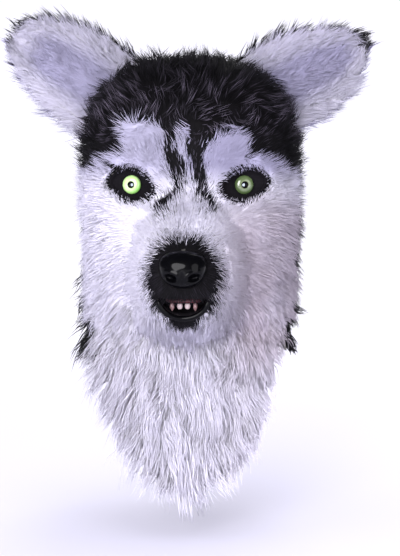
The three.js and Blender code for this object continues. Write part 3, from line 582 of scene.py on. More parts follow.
@dataclass
class Markings:
    """Where the white face meets the dark fur, all in the front view."""

    head: HeadShape
    side_seam: float = 6 * MM
    nape_seam_drop: float = 232 * MM
    bib_seam_drop: float = 322 * MM
    bib_cloth_drop: float = 484 * MM
    bib_half_width: float = 100 * MM
    bib_margin: float = 4 * MM
    chin_half_width: float = 24 * MM
    chin_top_drop: float = 270 * MM
    chin_back: float = -192 * MM
    far: float = 0.5
    lid_width: float = 3.5 * MM
    lash_width: float = 3 * MM
    muzzle_back: float = -166 * MM
    stripe_growth: float = 1.5 * MM
    peek_depth: float = 26 * MM
    lash: tuple[tuple[float, float], ...] = (
        (-104 * MM, -108 * MM), (-92 * MM, -116 * MM), (-80 * MM, -123 * MM),
    )

    seam_rows = (
        (-1.4, 0.31), (-1.15, 0.31), (-1.08, 0.321), (-1.022, 0.349), (-0.951, 0.368), (-0.899, 0.344),
        (-0.863, 0.317), (-0.819, 0.307), (-0.724, 0.304), (-0.653, 0.297), (-0.632, 0.277), (-0.643, 0.244),
        (-0.675, 0.218), (-0.677, 0.201), (-0.617, 0.19), (-0.479, 0.185), (-0.353, 0.189), (-0.265, 0.209),
        (-0.226, 0.238), (-0.226, 0.277), (-0.206, 0.31), (-0.169, 0.352), (-0.14, 0.385), (-0.15, 0.411),
        (-0.2, 0.424), (-0.265, 0.436), (-0.33, 0.452), (-0.335, 0.482), (-0.26, 0.505), (-0.17, 0.492),
        (-0.115, 0.46), (-0.07, 0.425), (-0.036, 0.391), (-0.022, 0.359), (-0.027, 0.326), (-0.065, 0.3),
        (-0.103, 0.277), (-0.108, 0.245), (-0.085, 0.212), (-0.058, 0.199), (-0.029, 0.209), (-0.019, 0.245),
        (-0.008, 0.287), (0.011, 0.316), (0.035, 0.352), (0.06, 0.391), (0.09, 0.43), (0.13, 0.465),
        (0.19, 0.49), (0.27, 0.49), (0.29, 0.46), (0.25, 0.424), (0.21, 0.398), (0.18, 0.365),
        (0.16, 0.336), (0.155, 0.3), (0.179, 0.278), (0.244, 0.256), (0.328, 0.24), (0.431, 0.229),
        (0.535, 0.231), (0.585, 0.25), (0.585, 0.275), (0.565, 0.296), (0.59, 0.31), (0.64, 0.305),
        (0.707, 0.3), (0.793, 0.31), (0.862, 0.326), (0.893, 0.344), (0.944, 0.361), (1.016, 0.365),
        (1.075, 0.345), (1.103, 0.311), (1.4, 0.31),
    )
    jaw_rows = ((0.0, 1.0), (0.45, 1.0), (0.8, 0.965), (1.0, 0.92), (1.25, 0.86), (3.0, 0.86))
    bib_rows = (
        (1.03, -0.2), (1.03, 0.0), (0.93, 0.2), (0.85, 0.42),
        (0.71, 0.64), (0.5, 0.82), (0.26, 0.94), (0.0, 1.0),
    )
    muzzle_rows = (
        (0.0, 0.25), (0.36, 0.27), (0.6, 0.34), (0.74, 0.45),
        (0.78, 0.55), (0.68, 0.68), (0.52, 0.78), (0.0, 0.8),
    )

    def white(self) -> Outline:
        """The whole white front below the marking seam.

        Returns:
            The white front.
        """
        scale = np.array([self.head.half_width, -self.head.hood_drop])
        seam = curve_through(np.array(self.seam_rows) * scale, 2)
        ends = np.array([[self.far, seam[-1, 1]], [self.far, -2 * self.far], [-self.far, -2 * self.far],
                         [-self.far, seam[0, 1]]])
        return Outline(np.vstack([seam, ends]))

    def below_jaw(self) -> Outline:
        """Everything below the seam under the jaw.

        Returns:
            The region.
        """
        scale = np.array([self.head.half_width, -self.bib_seam_drop])
        seam = curve_through(np.array(self.jaw_rows) * scale, 4)
        other = seam[:0:-1] * np.array([-1.0, 1.0])
        ends = np.array([[self.far, -2 * self.far], [-self.far, -2 * self.far]])
        return Outline(np.vstack([other, seam, ends]))

    def bib(self) -> Outline:
        """The edge of the bib.

        Returns:
            The edge, closed at the top.
        """
        length = self.bib_cloth_drop - self.bib_seam_drop + self.bib_margin
        scale = np.array([self.bib_half_width + self.bib_margin, -length])
        half = curve_through(np.array(self.bib_rows) * scale, 4)
        return Outline(mirrored(half - np.array([0.0, self.bib_seam_drop])))

    def dark_muzzle(self) -> Outline:
        """The dark fur round the nose and over the upper lip.

        Returns:
            The patch.
        """
        scale = np.array([self.head.muzzle_half_width, -self.head.muzzle_height])
        half = curve_through(np.array(self.muzzle_rows) * scale, 4)
        return Outline(mirrored(half + np.array([0.0, self.head.muzzle_top])))

    def chin(self) -> Outline:
        """The dark patch under the lower lip.

        Returns:
            The patch.
        """
        deep = self.head.muzzle_top - 0.94 * self.head.muzzle_height
        turn = np.linspace(0, math.pi / 2, 9)
        x = self.chin_half_width * np.cos(turn)
        z = -self.chin_top_drop + (deep + self.chin_top_drop) * np.sin(turn)
        return Outline(mirrored(np.stack([x, z], axis=-1)))

    def whiteness(self, points: np.ndarray) -> np.ndarray:
        """Measure how far places lie inside the white fur.

        Args:
            points: The places, one a row.

        Returns:
            The distance to its edge, negative in the dark fur.
        """
        x, y, z = points.T
        beside = smoothstep(x, 60 * MM, 110 * MM) * smoothstep(z, -262 * MM, -235 * MM)
        inside = np.minimum(self.white().inset(x, z), self.side_seam - self.peek_depth * beside - y)
        inside = inside - self.stripe_growth * (1 - smoothstep(np.abs(x), 20 * MM, 36 * MM))
        muzzle = np.minimum(self.dark_muzzle().inset(x, z), self.muzzle_back - y)
        chin = np.minimum(self.chin().inset(x, z), self.chin_back - y)
        return np.minimum(inside, np.minimum(-muzzle, -chin))

    def lids(self, points: np.ndarray) -> np.ndarray:
        """Measure how far places lie outside the black rims and the lash line of the eyes.

        Args:
            points: The places, one a row.

        Returns:
            The distance, negative in the black.
        """
        x, y, z = points.T
        near = np.full(x.shape, np.inf)
        for side in Side:
            outside = -Outline(self.head.eye_outline(side, self.lid_width)).inset(x, z)
            near = np.minimum(near, 1.2 * outside - 1 * MM)
        for (ax, az), (bx, bz) in zip(self.lash, self.lash[1:]):
            dx, dz = bx - ax, bz - az
            share = np.clip(((x - ax) * dx + (z - az) * dz) / (dx**2 + dz**2), 0.0, 1.0)
            away = np.hypot(x - ax - share * dx, z - az - share * dz)
            near = np.minimum(near, 2 * (away - self.lash_width))
        return np.where(y < 0, near, self.far)


class Panel(Enum):
    """The panels of fur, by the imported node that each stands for."""

    CROWN = "crown_fur"
    NAPE = "nape_fur"
    FACE = "face_fur"
    MUZZLE = "muzzle_fur"
    CHIN = "chin_fur"
    BIB = "bib_fur"


@dataclass(frozen=True)
class PileFinish:
    """Deep pile with pale and dark hairs. Dark hairs run from a deeper root to a lighter tip; pale hairs are
    painted lightest at the root, painted light that offsets the shade deep in the coat.
    """

    name: str
    sheen: float
    roughness: float = 0.7
    specular: float = 0.12
    soft: float = 0.88
    border: float = 5 * MM
    # Painted light: pale hairs are lighter at the root than at the tip, to offset the shade deep in the
    # coat.
    white_root: Color = (0.95, 0.93, 1.0)
    white_mid: Color = (0.91, 0.88, 1.0)
    white_tip: Color = (0.86, 0.83, 0.98)
    # Painted shade: the lilac that the white fur darkens to where shade falls; on the brows it also stands
    # for the mask's own grey airbrushing.
    lilac_shade: Color = (0.42, 0.4, 0.57)
    # Painted shade: the warm grey of the white fur on the wearer's left cheek, the side away from the key
    # light.
    warm_shade: Color = (0.56, 0.48, 0.56)
    shadow: Color = (0.3, 0.28, 0.4)
    dark_root: Color = (0.003, 0.0025, 0.0035)
    dark_mid: Color = (0.004, 0.0035, 0.005)
    dark_tip: Color = (0.008, 0.007, 0.0105)
    ticked: Color = (0.17, 0.145, 0.2)

    def build(self) -> bpy.types.Material:
        """Make the material. It reads the hairs' own attributes.

        Returns:
            The material.
        """
        material = bpy.data.materials.new(self.name)
        material.use_nodes = True
        wires = Wiring(material.node_tree)
        shader = material.node_tree.nodes["Principled BSDF"]
        along = wires.stored("along")
        chance = wires.stored("chance")
        tuft = wires.stored("tuft")
        place = wires.add("ShaderNodeTexCoord").outputs["Object"]
        cloud = wires.noise(place, 14.0, 2.0)
        pale = self.shaded(wires, along, self.white_root, self.white_mid, self.white_tip)
        # Painted shade: blend the white hairs towards lilac by their stored lilac share.
        pale = wires.mix("RGBA", wires.stored("lilac_shade"), pale, (*self.lilac_shade, 1.0))
        # Painted shade: blend in the warm grey by the stored share, broken up by a cloud.
        warm_shade_amount = wires.math("MULTIPLY", wires.stored("warm_shade"), wires.ramp(cloud, 0.2, 0.6, 0.6, 1.0))
        pale = wires.mix("RGBA", warm_shade_amount, pale, (*self.warm_shade, 1.0))
        each = wires.ramp(chance, 0.0, 0.4, 0.86, 1.0)
        bunch = wires.ramp(tuft, 0.0, 0.7, 0.93, 1.0)
        pale = wires.mix("RGBA", wires.math("MULTIPLY", each, bunch), (*self.shadow, 1.0), pale)
        dark = self.shaded(wires, along, self.dark_root, self.dark_mid, self.dark_tip)
        lit = wires.math("MULTIPLY", wires.ramp(chance, 0.45, 1.0), wires.ramp(along, 0.3, 0.9))
        lit = wires.math("MULTIPLY", lit, wires.ramp(tuft, 0.1, 0.9, 0.3, 1.3))
        lit = wires.math("MULTIPLY", lit, wires.stored("tick"), clamp=True)
        dark = wires.mix("RGBA", lit, dark, (*self.ticked, 1.0))
        wander = wires.math("MULTIPLY", wires.math("SUBTRACT", chance, 0.5), 2 * self.border)
        reach = wires.math("ADD", wires.stored("white"), wander)
        color = wires.mix("RGBA", wires.ramp(reach, -1.0 * MM, 1.0 * MM), dark, pale)
        wires.feed(shader.inputs["Base Color"], color)
        own = wires.add("ShaderNodeNewGeometry").outputs["Normal"]
        soft = wires.mix("VECTOR", self.soft, own, wires.stored("up", "Vector"))
        wires.feed(shader.inputs["Normal"], wires.vector("NORMALIZE", soft))
        shader.inputs["Roughness"].default_value = self.roughness
        shader.inputs["Specular IOR Level"].default_value = self.specular
        shader.inputs["Sheen Weight"].default_value = self.sheen
        shader.inputs["Sheen Roughness"].default_value = 0.5
        return material

    def shaded(self, wires: Wiring, along: Socket, root: Color, mid: Color, tip: Color) -> Socket:
        """Blend the colours of a hair's root, middle and tip."""
        lower = wires.mix("RGBA", wires.ramp(along, 0.0, 0.35), (*root, 1.0), (*mid, 1.0))
        return wires.mix("RGBA", wires.ramp(along, 0.35, 1.0), lower, (*tip, 1.0))


@dataclass(frozen=True)
class PileCut:
    """How the hairs of one piece of pile are cut and combed."""

    hairs: int
    seed: int
    width: float = 0.55 * MM
    clump: float = 9 * MM
    pull: float = 0.55
    curl: float = 2.2 * MM
    curl_scale: float = 60.0
    ground: float = 1.2 * MM
    points: int = 3
    tousle: float = 0.3


class PileTree:
    """The node tree that grows hairs over a skin and lays a closed ground under them."""

    sockets = (
        ("Density", "NodeSocketFloat"),
        ("Seed", "NodeSocketInt"),
        ("Width", "NodeSocketFloat"),
        ("Clump Density", "NodeSocketFloat"),
        ("Pull", "NodeSocketFloat"),
        ("Curl", "NodeSocketFloat"),
        ("Curl Scale", "NodeSocketFloat"),
        ("Tousle", "NodeSocketFloat"),
        ("Ground", "NodeSocketFloat"),
        ("Points", "NodeSocketInt"),
        ("Finish", "NodeSocketMaterial"),
    )

    def __init__(self) -> None:
        """Build the tree."""
        self.tree = bpy.data.node_groups.new("pile_strands", "GeometryNodeTree")
        face = self.tree.interface
        face.new_socket("Skin", in_out="INPUT", socket_type="NodeSocketGeometry")
        for name, kind in self.sockets:
            face.new_socket(name, in_out="INPUT", socket_type=kind)
        face.new_socket("Pile", in_out="OUTPUT", socket_type="NodeSocketGeometry")
        self.wires = Wiring(self.tree)
        self.given = self.wires.add("NodeGroupInput").outputs
        strands = self.strands()
        ground = self.ground()
        both = self.wires.add("GeometryNodeJoinGeometry")
        self.wires.feed(both.inputs[0], strands)
        self.wires.feed(both.inputs[0], ground)
        real = self.wires.add("GeometryNodeRealizeInstances", None, {0: both.outputs[0]}).outputs[0]
        real = self.wires.add("GeometryNodeSetShadeSmooth", None, {"Geometry": real}).outputs[0]
        inputs = {"Geometry": real, "Material": self.given["Finish"]}
        dressed = self.wires.add("GeometryNodeSetMaterial", None, inputs).outputs[0]
        self.wires.feed(self.wires.add("NodeGroupOutput").inputs[0], dressed)

    def read(self, name: str, kind: str = "FLOAT_VECTOR") -> Socket:
        """Read a named attribute."""
        node = self.wires.add("GeometryNodeInputNamedAttribute", {"data_type": kind}, {"Name": name})
        return node.outputs[0]

    def store(self, geometry: Socket, name: str, value: object, kind: str = "FLOAT_VECTOR") -> Socket:
        """Store a named attribute on points.

        Args:
            geometry: What carries the points.
            name: The attribute's name.
            value: Its value.
            kind: Its data type.

        Returns:
            The geometry with the attribute.
        """
        settings = {"data_type": kind, "domain": "POINT"}
        inputs = {"Geometry": geometry, "Name": name, "Value": value}
        return self.wires.add("GeometryNodeStoreNamedAttribute", settings, inputs).outputs[0]

    def scatter(self, density: object, seed: object) -> tuple[Socket, Socket]:
        """Scatter points over the skin.

        Args:
            density: How many points a square metre has.
            seed: The seed of their places.

        Returns:
            The points, and the skin's outward direction at them.
        """
        inputs = {"Mesh": self.given["Skin"], "Density": density, "Seed": seed}
        node = self.wires.add("GeometryNodeDistributePointsOnFaces", {"distribute_method": "RANDOM"}, inputs)
        return node.outputs["Points"], node.outputs["Normal"]

    def strands(self) -> Socket:
        """Grow the hairs.

        Returns:
            A mesh of closed, tapered hairs.
        """
        wires = self.wires
        weight = self.read("thickness", "FLOAT")
        density = wires.math("MULTIPLY", self.given["Density"], weight)
        number = {"data_type": "FLOAT"}
        vector = {"data_type": "FLOAT_VECTOR"}
        points, up = self.scatter(density, self.given["Seed"])
        points = self.store(points, "up", up)
        points = self.store(points, "root", wires.add("GeometryNodeInputPosition").outputs[0])
        chance = wires.add("FunctionNodeRandomValue", number, {"Seed": 7}).outputs[1]
        points = self.store(points, "chance", chance, "FLOAT")
        clump_seed = wires.math("ADD", self.given["Seed"], 100.0)
        clumps, clump_up = self.scatter(self.given["Clump Density"], clump_seed)
        clumps = self.store(clumps, "up", clump_up)
        place = wires.add("GeometryNodeInputPosition").outputs[0]
        near = wires.add("GeometryNodeSampleNearest", {"domain": "POINT"}, {0: clumps}).outputs[0]
        heart = {"clump_root": place, "clump_up": self.read("up"), "clump_flow": self.read("flow")}
        for name, value in heart.items():
            settings = {"data_type": "FLOAT_VECTOR", "domain": "POINT"}
            sample = wires.add("GeometryNodeSampleIndex", settings, {0: clumps, 1: value, "Index": near})
            points = self.store(points, name, sample.outputs[0])
        tuft = wires.add("FunctionNodeRandomValue", number, {"ID": near, "Seed": 8}).outputs[1]
        points = self.store(points, "tuft", tuft, "FLOAT")
        inputs = {0: (-1, -1, -1), 1: (1, 1, 1), "ID": near, "Seed": 9}
        lean = wires.add("FunctionNodeRandomValue", vector, inputs).outputs[0]
        points = self.store(points, "lean", lean)
        line = wires.add("GeometryNodeCurvePrimitiveLine", None, {"Start": (0, 0, 0), "End": (0, 0, 1)})
        inputs = {"Curve": line.outputs[0], "Count": self.given["Points"]}
        line = wires.add("GeometryNodeResampleCurve", None, inputs)
        inputs = {"Points": points, "Instance": line.outputs[0]}
        hairs = wires.add("GeometryNodeInstanceOnPoints", None, inputs).outputs[0]
        hairs = wires.add("GeometryNodeRealizeInstances", None, {0: hairs}).outputs[0]
        along = wires.add("GeometryNodeSplineParameter").outputs["Factor"]
        hairs = self.store(hairs, "along", along, "FLOAT")
        inputs = {"Geometry": hairs, "Position": self.bend()}
        hairs = wires.add("GeometryNodeSetPosition", None, inputs).outputs[0]
        taper = wires.math("SUBTRACT", 1.0, wires.math("POWER", self.read("along", "FLOAT"), 1.6))
        spread = wires.ramp(self.read("chance", "FLOAT"), 0.0, 1.0, 0.75, 1.25)
        radius = wires.math("MULTIPLY", wires.math("MULTIPLY", taper, spread), self.given["Width"])
        inputs = {"Resolution": 3, "Radius": 1.0}
        ring = wires.add("GeometryNodeCurvePrimitiveCircle", None, inputs).outputs[0]
        inputs = {"Curve": hairs, "Profile Curve": ring, "Scale": radius, "Fill Caps": True}
        mesh = wires.add("GeometryNodeCurveToMesh", None, inputs).outputs[0]
        tip = wires.math("GREATER_THAN", self.read("along", "FLOAT"), 0.99)
        inputs = {"Geometry": mesh, "Selection": tip, "Distance": 1e-6}
        return wires.add("GeometryNodeMergeByDistance", None, inputs).outputs[0]

    def bend(self) -> Socket:
        """Work out where each point of a hair lies.

        Returns:
            The point's position.
        """
        wires = self.wires
        along = self.read("along", "FLOAT")
        chance = self.read("chance", "FLOAT")
        tuft = self.read("tuft", "FLOAT")
        length = wires.math("MULTIPLY", self.read("pile", "FLOAT"), wires.ramp(chance, 0.0, 1.0, 0.7, 1.15))
        length = wires.math("MULTIPLY", length, wires.ramp(tuft, 0.0, 1.0, 0.85, 1.12))
        rise = wires.math("MULTIPLY", self.read("rise", "FLOAT"), wires.ramp(tuft, 0.0, 1.0, 0.75, 1.25))
        lie = wires.math("SQRT", wires.math("SUBTRACT", 1.0, wires.math("MULTIPLY", rise, rise)))
        square = wires.math("MULTIPLY", along, along)
        half = wires.math("MULTIPLY", square, 0.5)
        steep = wires.math("SUBTRACT", wires.math("MULTIPLY", along, 1.5), half)
        flat = wires.math("ADD", wires.math("MULTIPLY", along, 0.55), wires.math("MULTIPLY", square, 0.45))
        high = wires.math("MULTIPLY", wires.math("MULTIPLY", rise, steep), length)
        wide = wires.math("MULTIPLY", wires.math("MULTIPLY", lie, flat), length)
        ends = []
        for root, up, flow in (("root", "up", "flow"), ("clump_root", "clump_up", "clump_flow")):
            over = wires.scaled(self.read(up), high)
            step = wires.vector("ADD", over, wires.scaled(self.read(flow), wide))
            ends.append(wires.vector("ADD", self.read(root), step))
        toss = wires.math("MULTIPLY", wires.math("MULTIPLY", self.given["Tousle"], length), square)
        ends[1] = wires.vector("ADD", ends[1], wires.scaled(self.read("lean"), toss))
        deep = wires.ramp(self.read("pile", "FLOAT"), 8 * MM, 22 * MM, 0.2)
        gather = wires.math("MULTIPLY", self.given["Pull"], deep)
        pull = wires.math("MULTIPLY", gather, wires.math("POWER", along, 1.3))
        place = wires.mix("VECTOR", pull, *ends)
        fall = wires.math("MULTIPLY", along, length)
        shift = wires.add("ShaderNodeCombineXYZ", None, {"Z": fall}).outputs[0]
        moved = wires.vector("SUBTRACT", self.read("root"), shift)
        swing = wires.math("MULTIPLY", wires.math("MULTIPLY", self.given["Curl"], 4.0), along)
        sway = self.wander(moved, self.given["Curl Scale"], 1.5, swing)
        loose = wires.math("MULTIPLY", wires.math("MULTIPLY", length, 0.75), along)
        stray = self.wander(self.read("root"), 900.0, 0.0, loose)
        return wires.vector("ADD", wires.vector("ADD", place, sway), stray)

    def wander(self, place: Socket, scale: object, detail: float, size: Socket) -> Socket:
        """Work out a smooth random step.

        Args:
            place: Where the noise is read.
            scale: The noise's scale.
            detail: The noise's detail.
            size: The step's size.

        Returns:
            The step, as a vector.
        """
        noise = self.wires.noise(place, scale, detail, "Color")
        return self.wires.scaled(self.wires.vector("SUBTRACT", noise, (0.5, 0.5, 0.5)), size)

    def ground(self) -> Socket:
        """Lay the knitted ground of the pile.

        Returns:
            A closed sheet over the skin.
        """
        wires = self.wires
        skin = self.store(self.given["Skin"], "up", wires.add("GeometryNodeInputNormal").outputs[0])
        inputs = {"Mesh": skin, "Offset Scale": self.given["Ground"], "Individual": False}
        top = wires.add("GeometryNodeExtrudeMesh", {"mode": "FACES"}, inputs).outputs[0]
        under = wires.add("GeometryNodeFlipFaces", None, {0: skin}).outputs[0]
        both = wires.add("GeometryNodeJoinGeometry")
        wires.feed(both.inputs[0], top)
        wires.feed(both.inputs[0], under)
        inputs = {"Geometry": both.outputs[0], "Distance": 1e-6}
        sheet = wires.add("GeometryNodeMergeByDistance", None, inputs).outputs[0]
        sheet = self.store(sheet, "chance", 0.5, "FLOAT")
        # Painted shade: a low tuft share darkens the ground a little towards the shadow colour, as hair in
        # shade would be.
        sheet = self.store(sheet, "tuft", 0.2, "FLOAT")
        return self.store(sheet, "along", 0.0, "FLOAT")

    def grow(self, piece: bpy.types.Object, cut: PileCut, finish: bpy.types.Material) -> None:
        """Grow pile over a skin and keep the result as its plain mesh.

        Args:
            piece: The skin, with its attributes stored.
            cut: How the hairs are cut.
            finish: Their material.
        """
        mesh = piece.data
        area = sum(face.area for face in mesh.polygons)
        values = np.zeros(len(mesh.vertices))
        mesh.attributes["thickness"].data.foreach_get("value", values)
        clumps = 1 / cut.clump**2
        given = {
            "Density": cut.hairs / area / max(values.mean(), 0.05),
            "Seed": cut.seed,
            "Width": cut.width,
            "Clump Density": clumps,
            "Pull": cut.pull,
            "Curl": cut.curl,
            "Curl Scale": cut.curl_scale,
            "Tousle": cut.tousle,
            "Ground": cut.ground,
            "Points": cut.points,
            "Finish": finish,
        }
        modifier = piece.modifiers.new("pile", "NODES")
        modifier.node_group = self.tree
        for item in self.tree.interface.items_tree:
            if item.in_out == "INPUT" and item.name in given:
                modifier[item.identifier] = given[item.name]
        bake_modifiers(piece)


@dataclass
class Coat:
    """The fur panels over the hood, the muzzle and the bib."""

    head: HeadShape
    markings: Markings
    lift: float = 0.8 * MM
    crown_pile: float = 21 * MM
    brow_pile: float = 11 * MM
    lid_pile: float = 6.5 * MM
    face_pile: float = 20 * MM
    muzzle_pile: float = 10 * MM
    beard_pile: float = 24 * MM
    nape_pile: float = 44 * MM
    bib_pile: float = 40 * MM
    points: np.ndarray = field(init=False)
    normals: np.ndarray = field(init=False)
    faces: np.ndarray = field(init=False)

    cuts = {
        "crown_pile_front": PileCut(hairs=10000, seed=11, width=0.45 * MM, clump=9 * MM, tousle=0.35),
        "crown_pile_back": PileCut(hairs=5000, seed=12, width=0.95 * MM, clump=16 * MM, tousle=0.4),
        "nape_pile": PileCut(
            hairs=4000, seed=13, width=0.9 * MM, clump=13 * MM, pull=0.75, curl=4 * MM, points=4, tousle=0.4
        ),
        "brow_pile": PileCut(hairs=13000, seed=14, width=0.4 * MM, clump=6 * MM, pull=0.25),
        "cheek_pile_left": PileCut(
            hairs=8200, seed=15, width=0.52 * MM, clump=11 * MM, pull=0.4, tousle=0.3
        ),
        "cheek_pile_right": PileCut(
            hairs=8200, seed=16, width=0.52 * MM, clump=11 * MM, pull=0.4, tousle=0.3
        ),
        "muzzle_pile": PileCut(hairs=5800, seed=17, width=0.35 * MM, clump=6 * MM, curl=1 * MM),
        "chin_pile": PileCut(hairs=1000, seed=18, width=0.4 * MM, clump=6 * MM, curl=1 * MM),
        "bib_pile": PileCut(
            hairs=7700, seed=19, width=0.55 * MM, clump=15 * MM, pull=0.5,
            curl=8 * MM, curl_scale=24, points=4, tousle=0.3
        ),
    }
    panels = {
        "crown_pile_front": ("dark_fur", Panel.CROWN),
        "crown_pile_back": ("dark_fur", Panel.CROWN),
        "nape_pile": ("dark_fur", Panel.NAPE),
        "brow_pile": ("white_fur", Panel.FACE),
        "cheek_pile_left": ("white_fur", Panel.FACE),
        "cheek_pile_right": ("white_fur", Panel.FACE),
        "muzzle_pile": ("dark_fur", Panel.MUZZLE),
        "chin_pile": ("dark_fur", Panel.CHIN),
        "bib_pile": ("white_fur", Panel.BIB),
    }
    swirl_sizes = ((34 * MM, 0.55), (70 * MM, 0.45))

    def __post_init__(self) -> None:
        """Take the joined skin's points, outward directions and faces."""
        form = self.head.solid()
        bake_modifiers(form)
        mesh = form.data
        points = np.zeros(len(mesh.vertices) * 3)
        mesh.vertices.foreach_get("co", points)
        self.points = self.relaxed(mesh, points.reshape(-1, 3))
        mesh.vertices.foreach_set("co", self.points.ravel())
        mesh.update()
        normals = np.zeros(len(mesh.vertices) * 3)
        mesh.vertices.foreach_get("normal", normals)
        self.normals = normals.reshape(-1, 3)
        self.points = self.points + self.normals * self.lift
        self.faces = np.array([face.vertices[:] for face in mesh.polygons])
        bpy.data.objects.remove(form)

    def relaxed(self, mesh: bpy.types.Mesh, points: np.ndarray, rounds: int = 8) -> np.ndarray:
        """Smooth a skin without shrinking it.

        Args:
            mesh: The skin, for its edges.
            points: Its points.
            rounds: How often to smooth.

        Returns:
            The smoothed points.
        """
        edges = np.zeros(len(mesh.edges) * 2, dtype=int)
        mesh.edges.foreach_get("vertices", edges)
        a, b = edges.reshape(-1, 2).T
        degree = np.bincount(np.concatenate([a, b]), minlength=len(points))[:, None]
        for _ in range(rounds):
            for step in (0.6, -0.62):
                total = np.zeros_like(points)
                np.add.at(total, a, points[b])
                np.add.at(total, b, points[a])
                points = points + step * (total / degree - points)
        return points

    def zones(self) -> dict[str, np.ndarray]:
        """Sort the skin's faces into panels.

        Returns:
            For each piece of pile, which faces it covers.
        """
        x, y, z = self.points[self.faces].mean(axis=1).T
        marks, head = self.markings, self.head
        front = y < marks.side_seam
        white = front & (marks.white().inset(x, z) > 0)
        below = front & (marks.below_jaw().inset(x, z) > 0)
        openings = (head.mouth_outline_shape().inset(x, z) > 0) & (y < head.mouth_back)
        for side in Side:
            openings |= (Outline(head.eye_outline(side)).inset(x, z) > 0) & (y < -40 * MM)
        nose_x, _, nose_z = head.nose_tip
        openings |= (np.hypot(x - nose_x, z - nose_z) < 19 * MM) & (y < -195 * MM)
        bib = below & (y < 0) & (marks.bib().inset(x, z) > 0)
        hem = z > -head.hood_drop
        nape = ~front & (z < -marks.nape_seam_drop) & hem
        crown = ~white & ~nape & ~below & (z > -marks.nape_seam_drop)
        face = white & ~below & ~openings
        muzzle = face & (y < marks.muzzle_back) & (marks.dark_muzzle().inset(x, z) > 0)
        chin = face & ~muzzle & (y < marks.chin_back) & (marks.chin().inset(x, z) > 0)
        cheeks = face & ~muzzle & ~chin
        upper = z > -172 * MM
        crown &= ~openings
        return {
            "crown_pile_front": crown & (y < 10 * MM),
            "crown_pile_back": crown & (y >= 10 * MM),
            "nape_pile": nape,
            "brow_pile": cheeks & upper,
            "cheek_pile_left": cheeks & ~upper & (x > 0),
            "cheek_pile_right": cheeks & ~upper & (x <= 0),
            "muzzle_pile": muzzle,
            "chin_pile": chin,
            "bib_pile": bib,
        }

    def flow(self) -> np.ndarray:
        """Work out which way the hair lies at each point of the skin.

        Returns:
            A direction along the skin for each point.
        """
        x, y, z = self.points.T
        away = unit(self.points - np.array(self.head.nose_tip) - np.array([0, 20 * MM, 0]))
        back, down = np.array([0.0, 1.0, 0.0]), np.array([0.0, 0.0, -1.0])
        out = np.stack([np.sign(x), 0 * x, 0 * x], axis=-1)
        top = smoothstep(z, -130 * MM, -40 * MM)[:, None]
        behind = smoothstep(y, -20 * MM, 60 * MM)[:, None]
        cheek = (smoothstep(np.abs(x), 50 * MM, 110 * MM) * smoothstep(-z, 120 * MM, 220 * MM))[:, None]
        low = smoothstep(-z, 285 * MM, 330 * MM)[:, None]
        flow = away * (1 - top) + back * top
        flow = flow * (1 - behind) + (0.3 * back + down) * behind
        flow = flow + cheek * (1.1 * down + 0.25 * out)
        flow = flow * (1 - low) + (down + 0.12 * out) * low
        beard = (smoothstep(-z, 268 * MM, 292 * MM) * (y < 0))[:, None]
        tucked = smoothstep(x, 40 * MM, 80 * MM) * (y < 0) * smoothstep(-z, 285 * MM, 315 * MM)
        flow = flow + 1.4 * beard * down - 0.7 * tucked[:, None] * out
        flare = (smoothstep(-x, 40 * MM, 110 * MM) * smoothstep(y, 10 * MM, 40 * MM))[:, None]
        flow = flow + 1.1 * flare * smoothstep(-z, 240 * MM, 275 * MM)[:, None] * out
        for side in Side:
            gap = -Outline(self.head.eye_outline(side)).inset(x, z)
            edge = np.where(y < 0, 1 - smoothstep(gap, 3 * MM, 10 * MM), 0.0)[:, None]
            centre_x, centre_z = side.value * self.head.eye_spread, -self.head.eye_drop
            inward = np.stack([centre_x - x, 0 * x, centre_z - z], axis=-1)
            flow = unit(flow) * (1 - edge) + 1.2 * unit(inward) * edge
        reach = np.linalg.norm(self.points - np.array(self.head.nose_tip), axis=1)
        calm = smoothstep(reach, 60 * MM, 130 * MM)
        wild = 0.2 + 0.6 * smoothstep(z, -100 * MM, -70 * MM)
        flow = unit(flow) + self.swirl() * (calm * wild)[:, None]
        along = flow - self.normals * np.sum(flow * self.normals, axis=1, keepdims=True)
        return unit(along)

    def swirl(self) -> np.ndarray:
        """Vary the way the hair lies in soft whorls.

        Returns:
            A smooth random vector of about unit length for each point.
        """
        dice = np.random.default_rng(5)
        total = np.zeros_like(self.points)
        waves = 10
        for size, strength in self.swirl_sizes:
            for _ in range(waves):
                wave = unit(dice.normal(size=3)) * math.tau / (size * dice.uniform(0.7, 1.4))
                phase = dice.uniform(0, math.tau)
                push = unit(dice.normal(size=3)) * strength * 2 / math.sqrt(waves)
                total += np.sin(self.points @ wave + phase)[:, None] * push
        return total

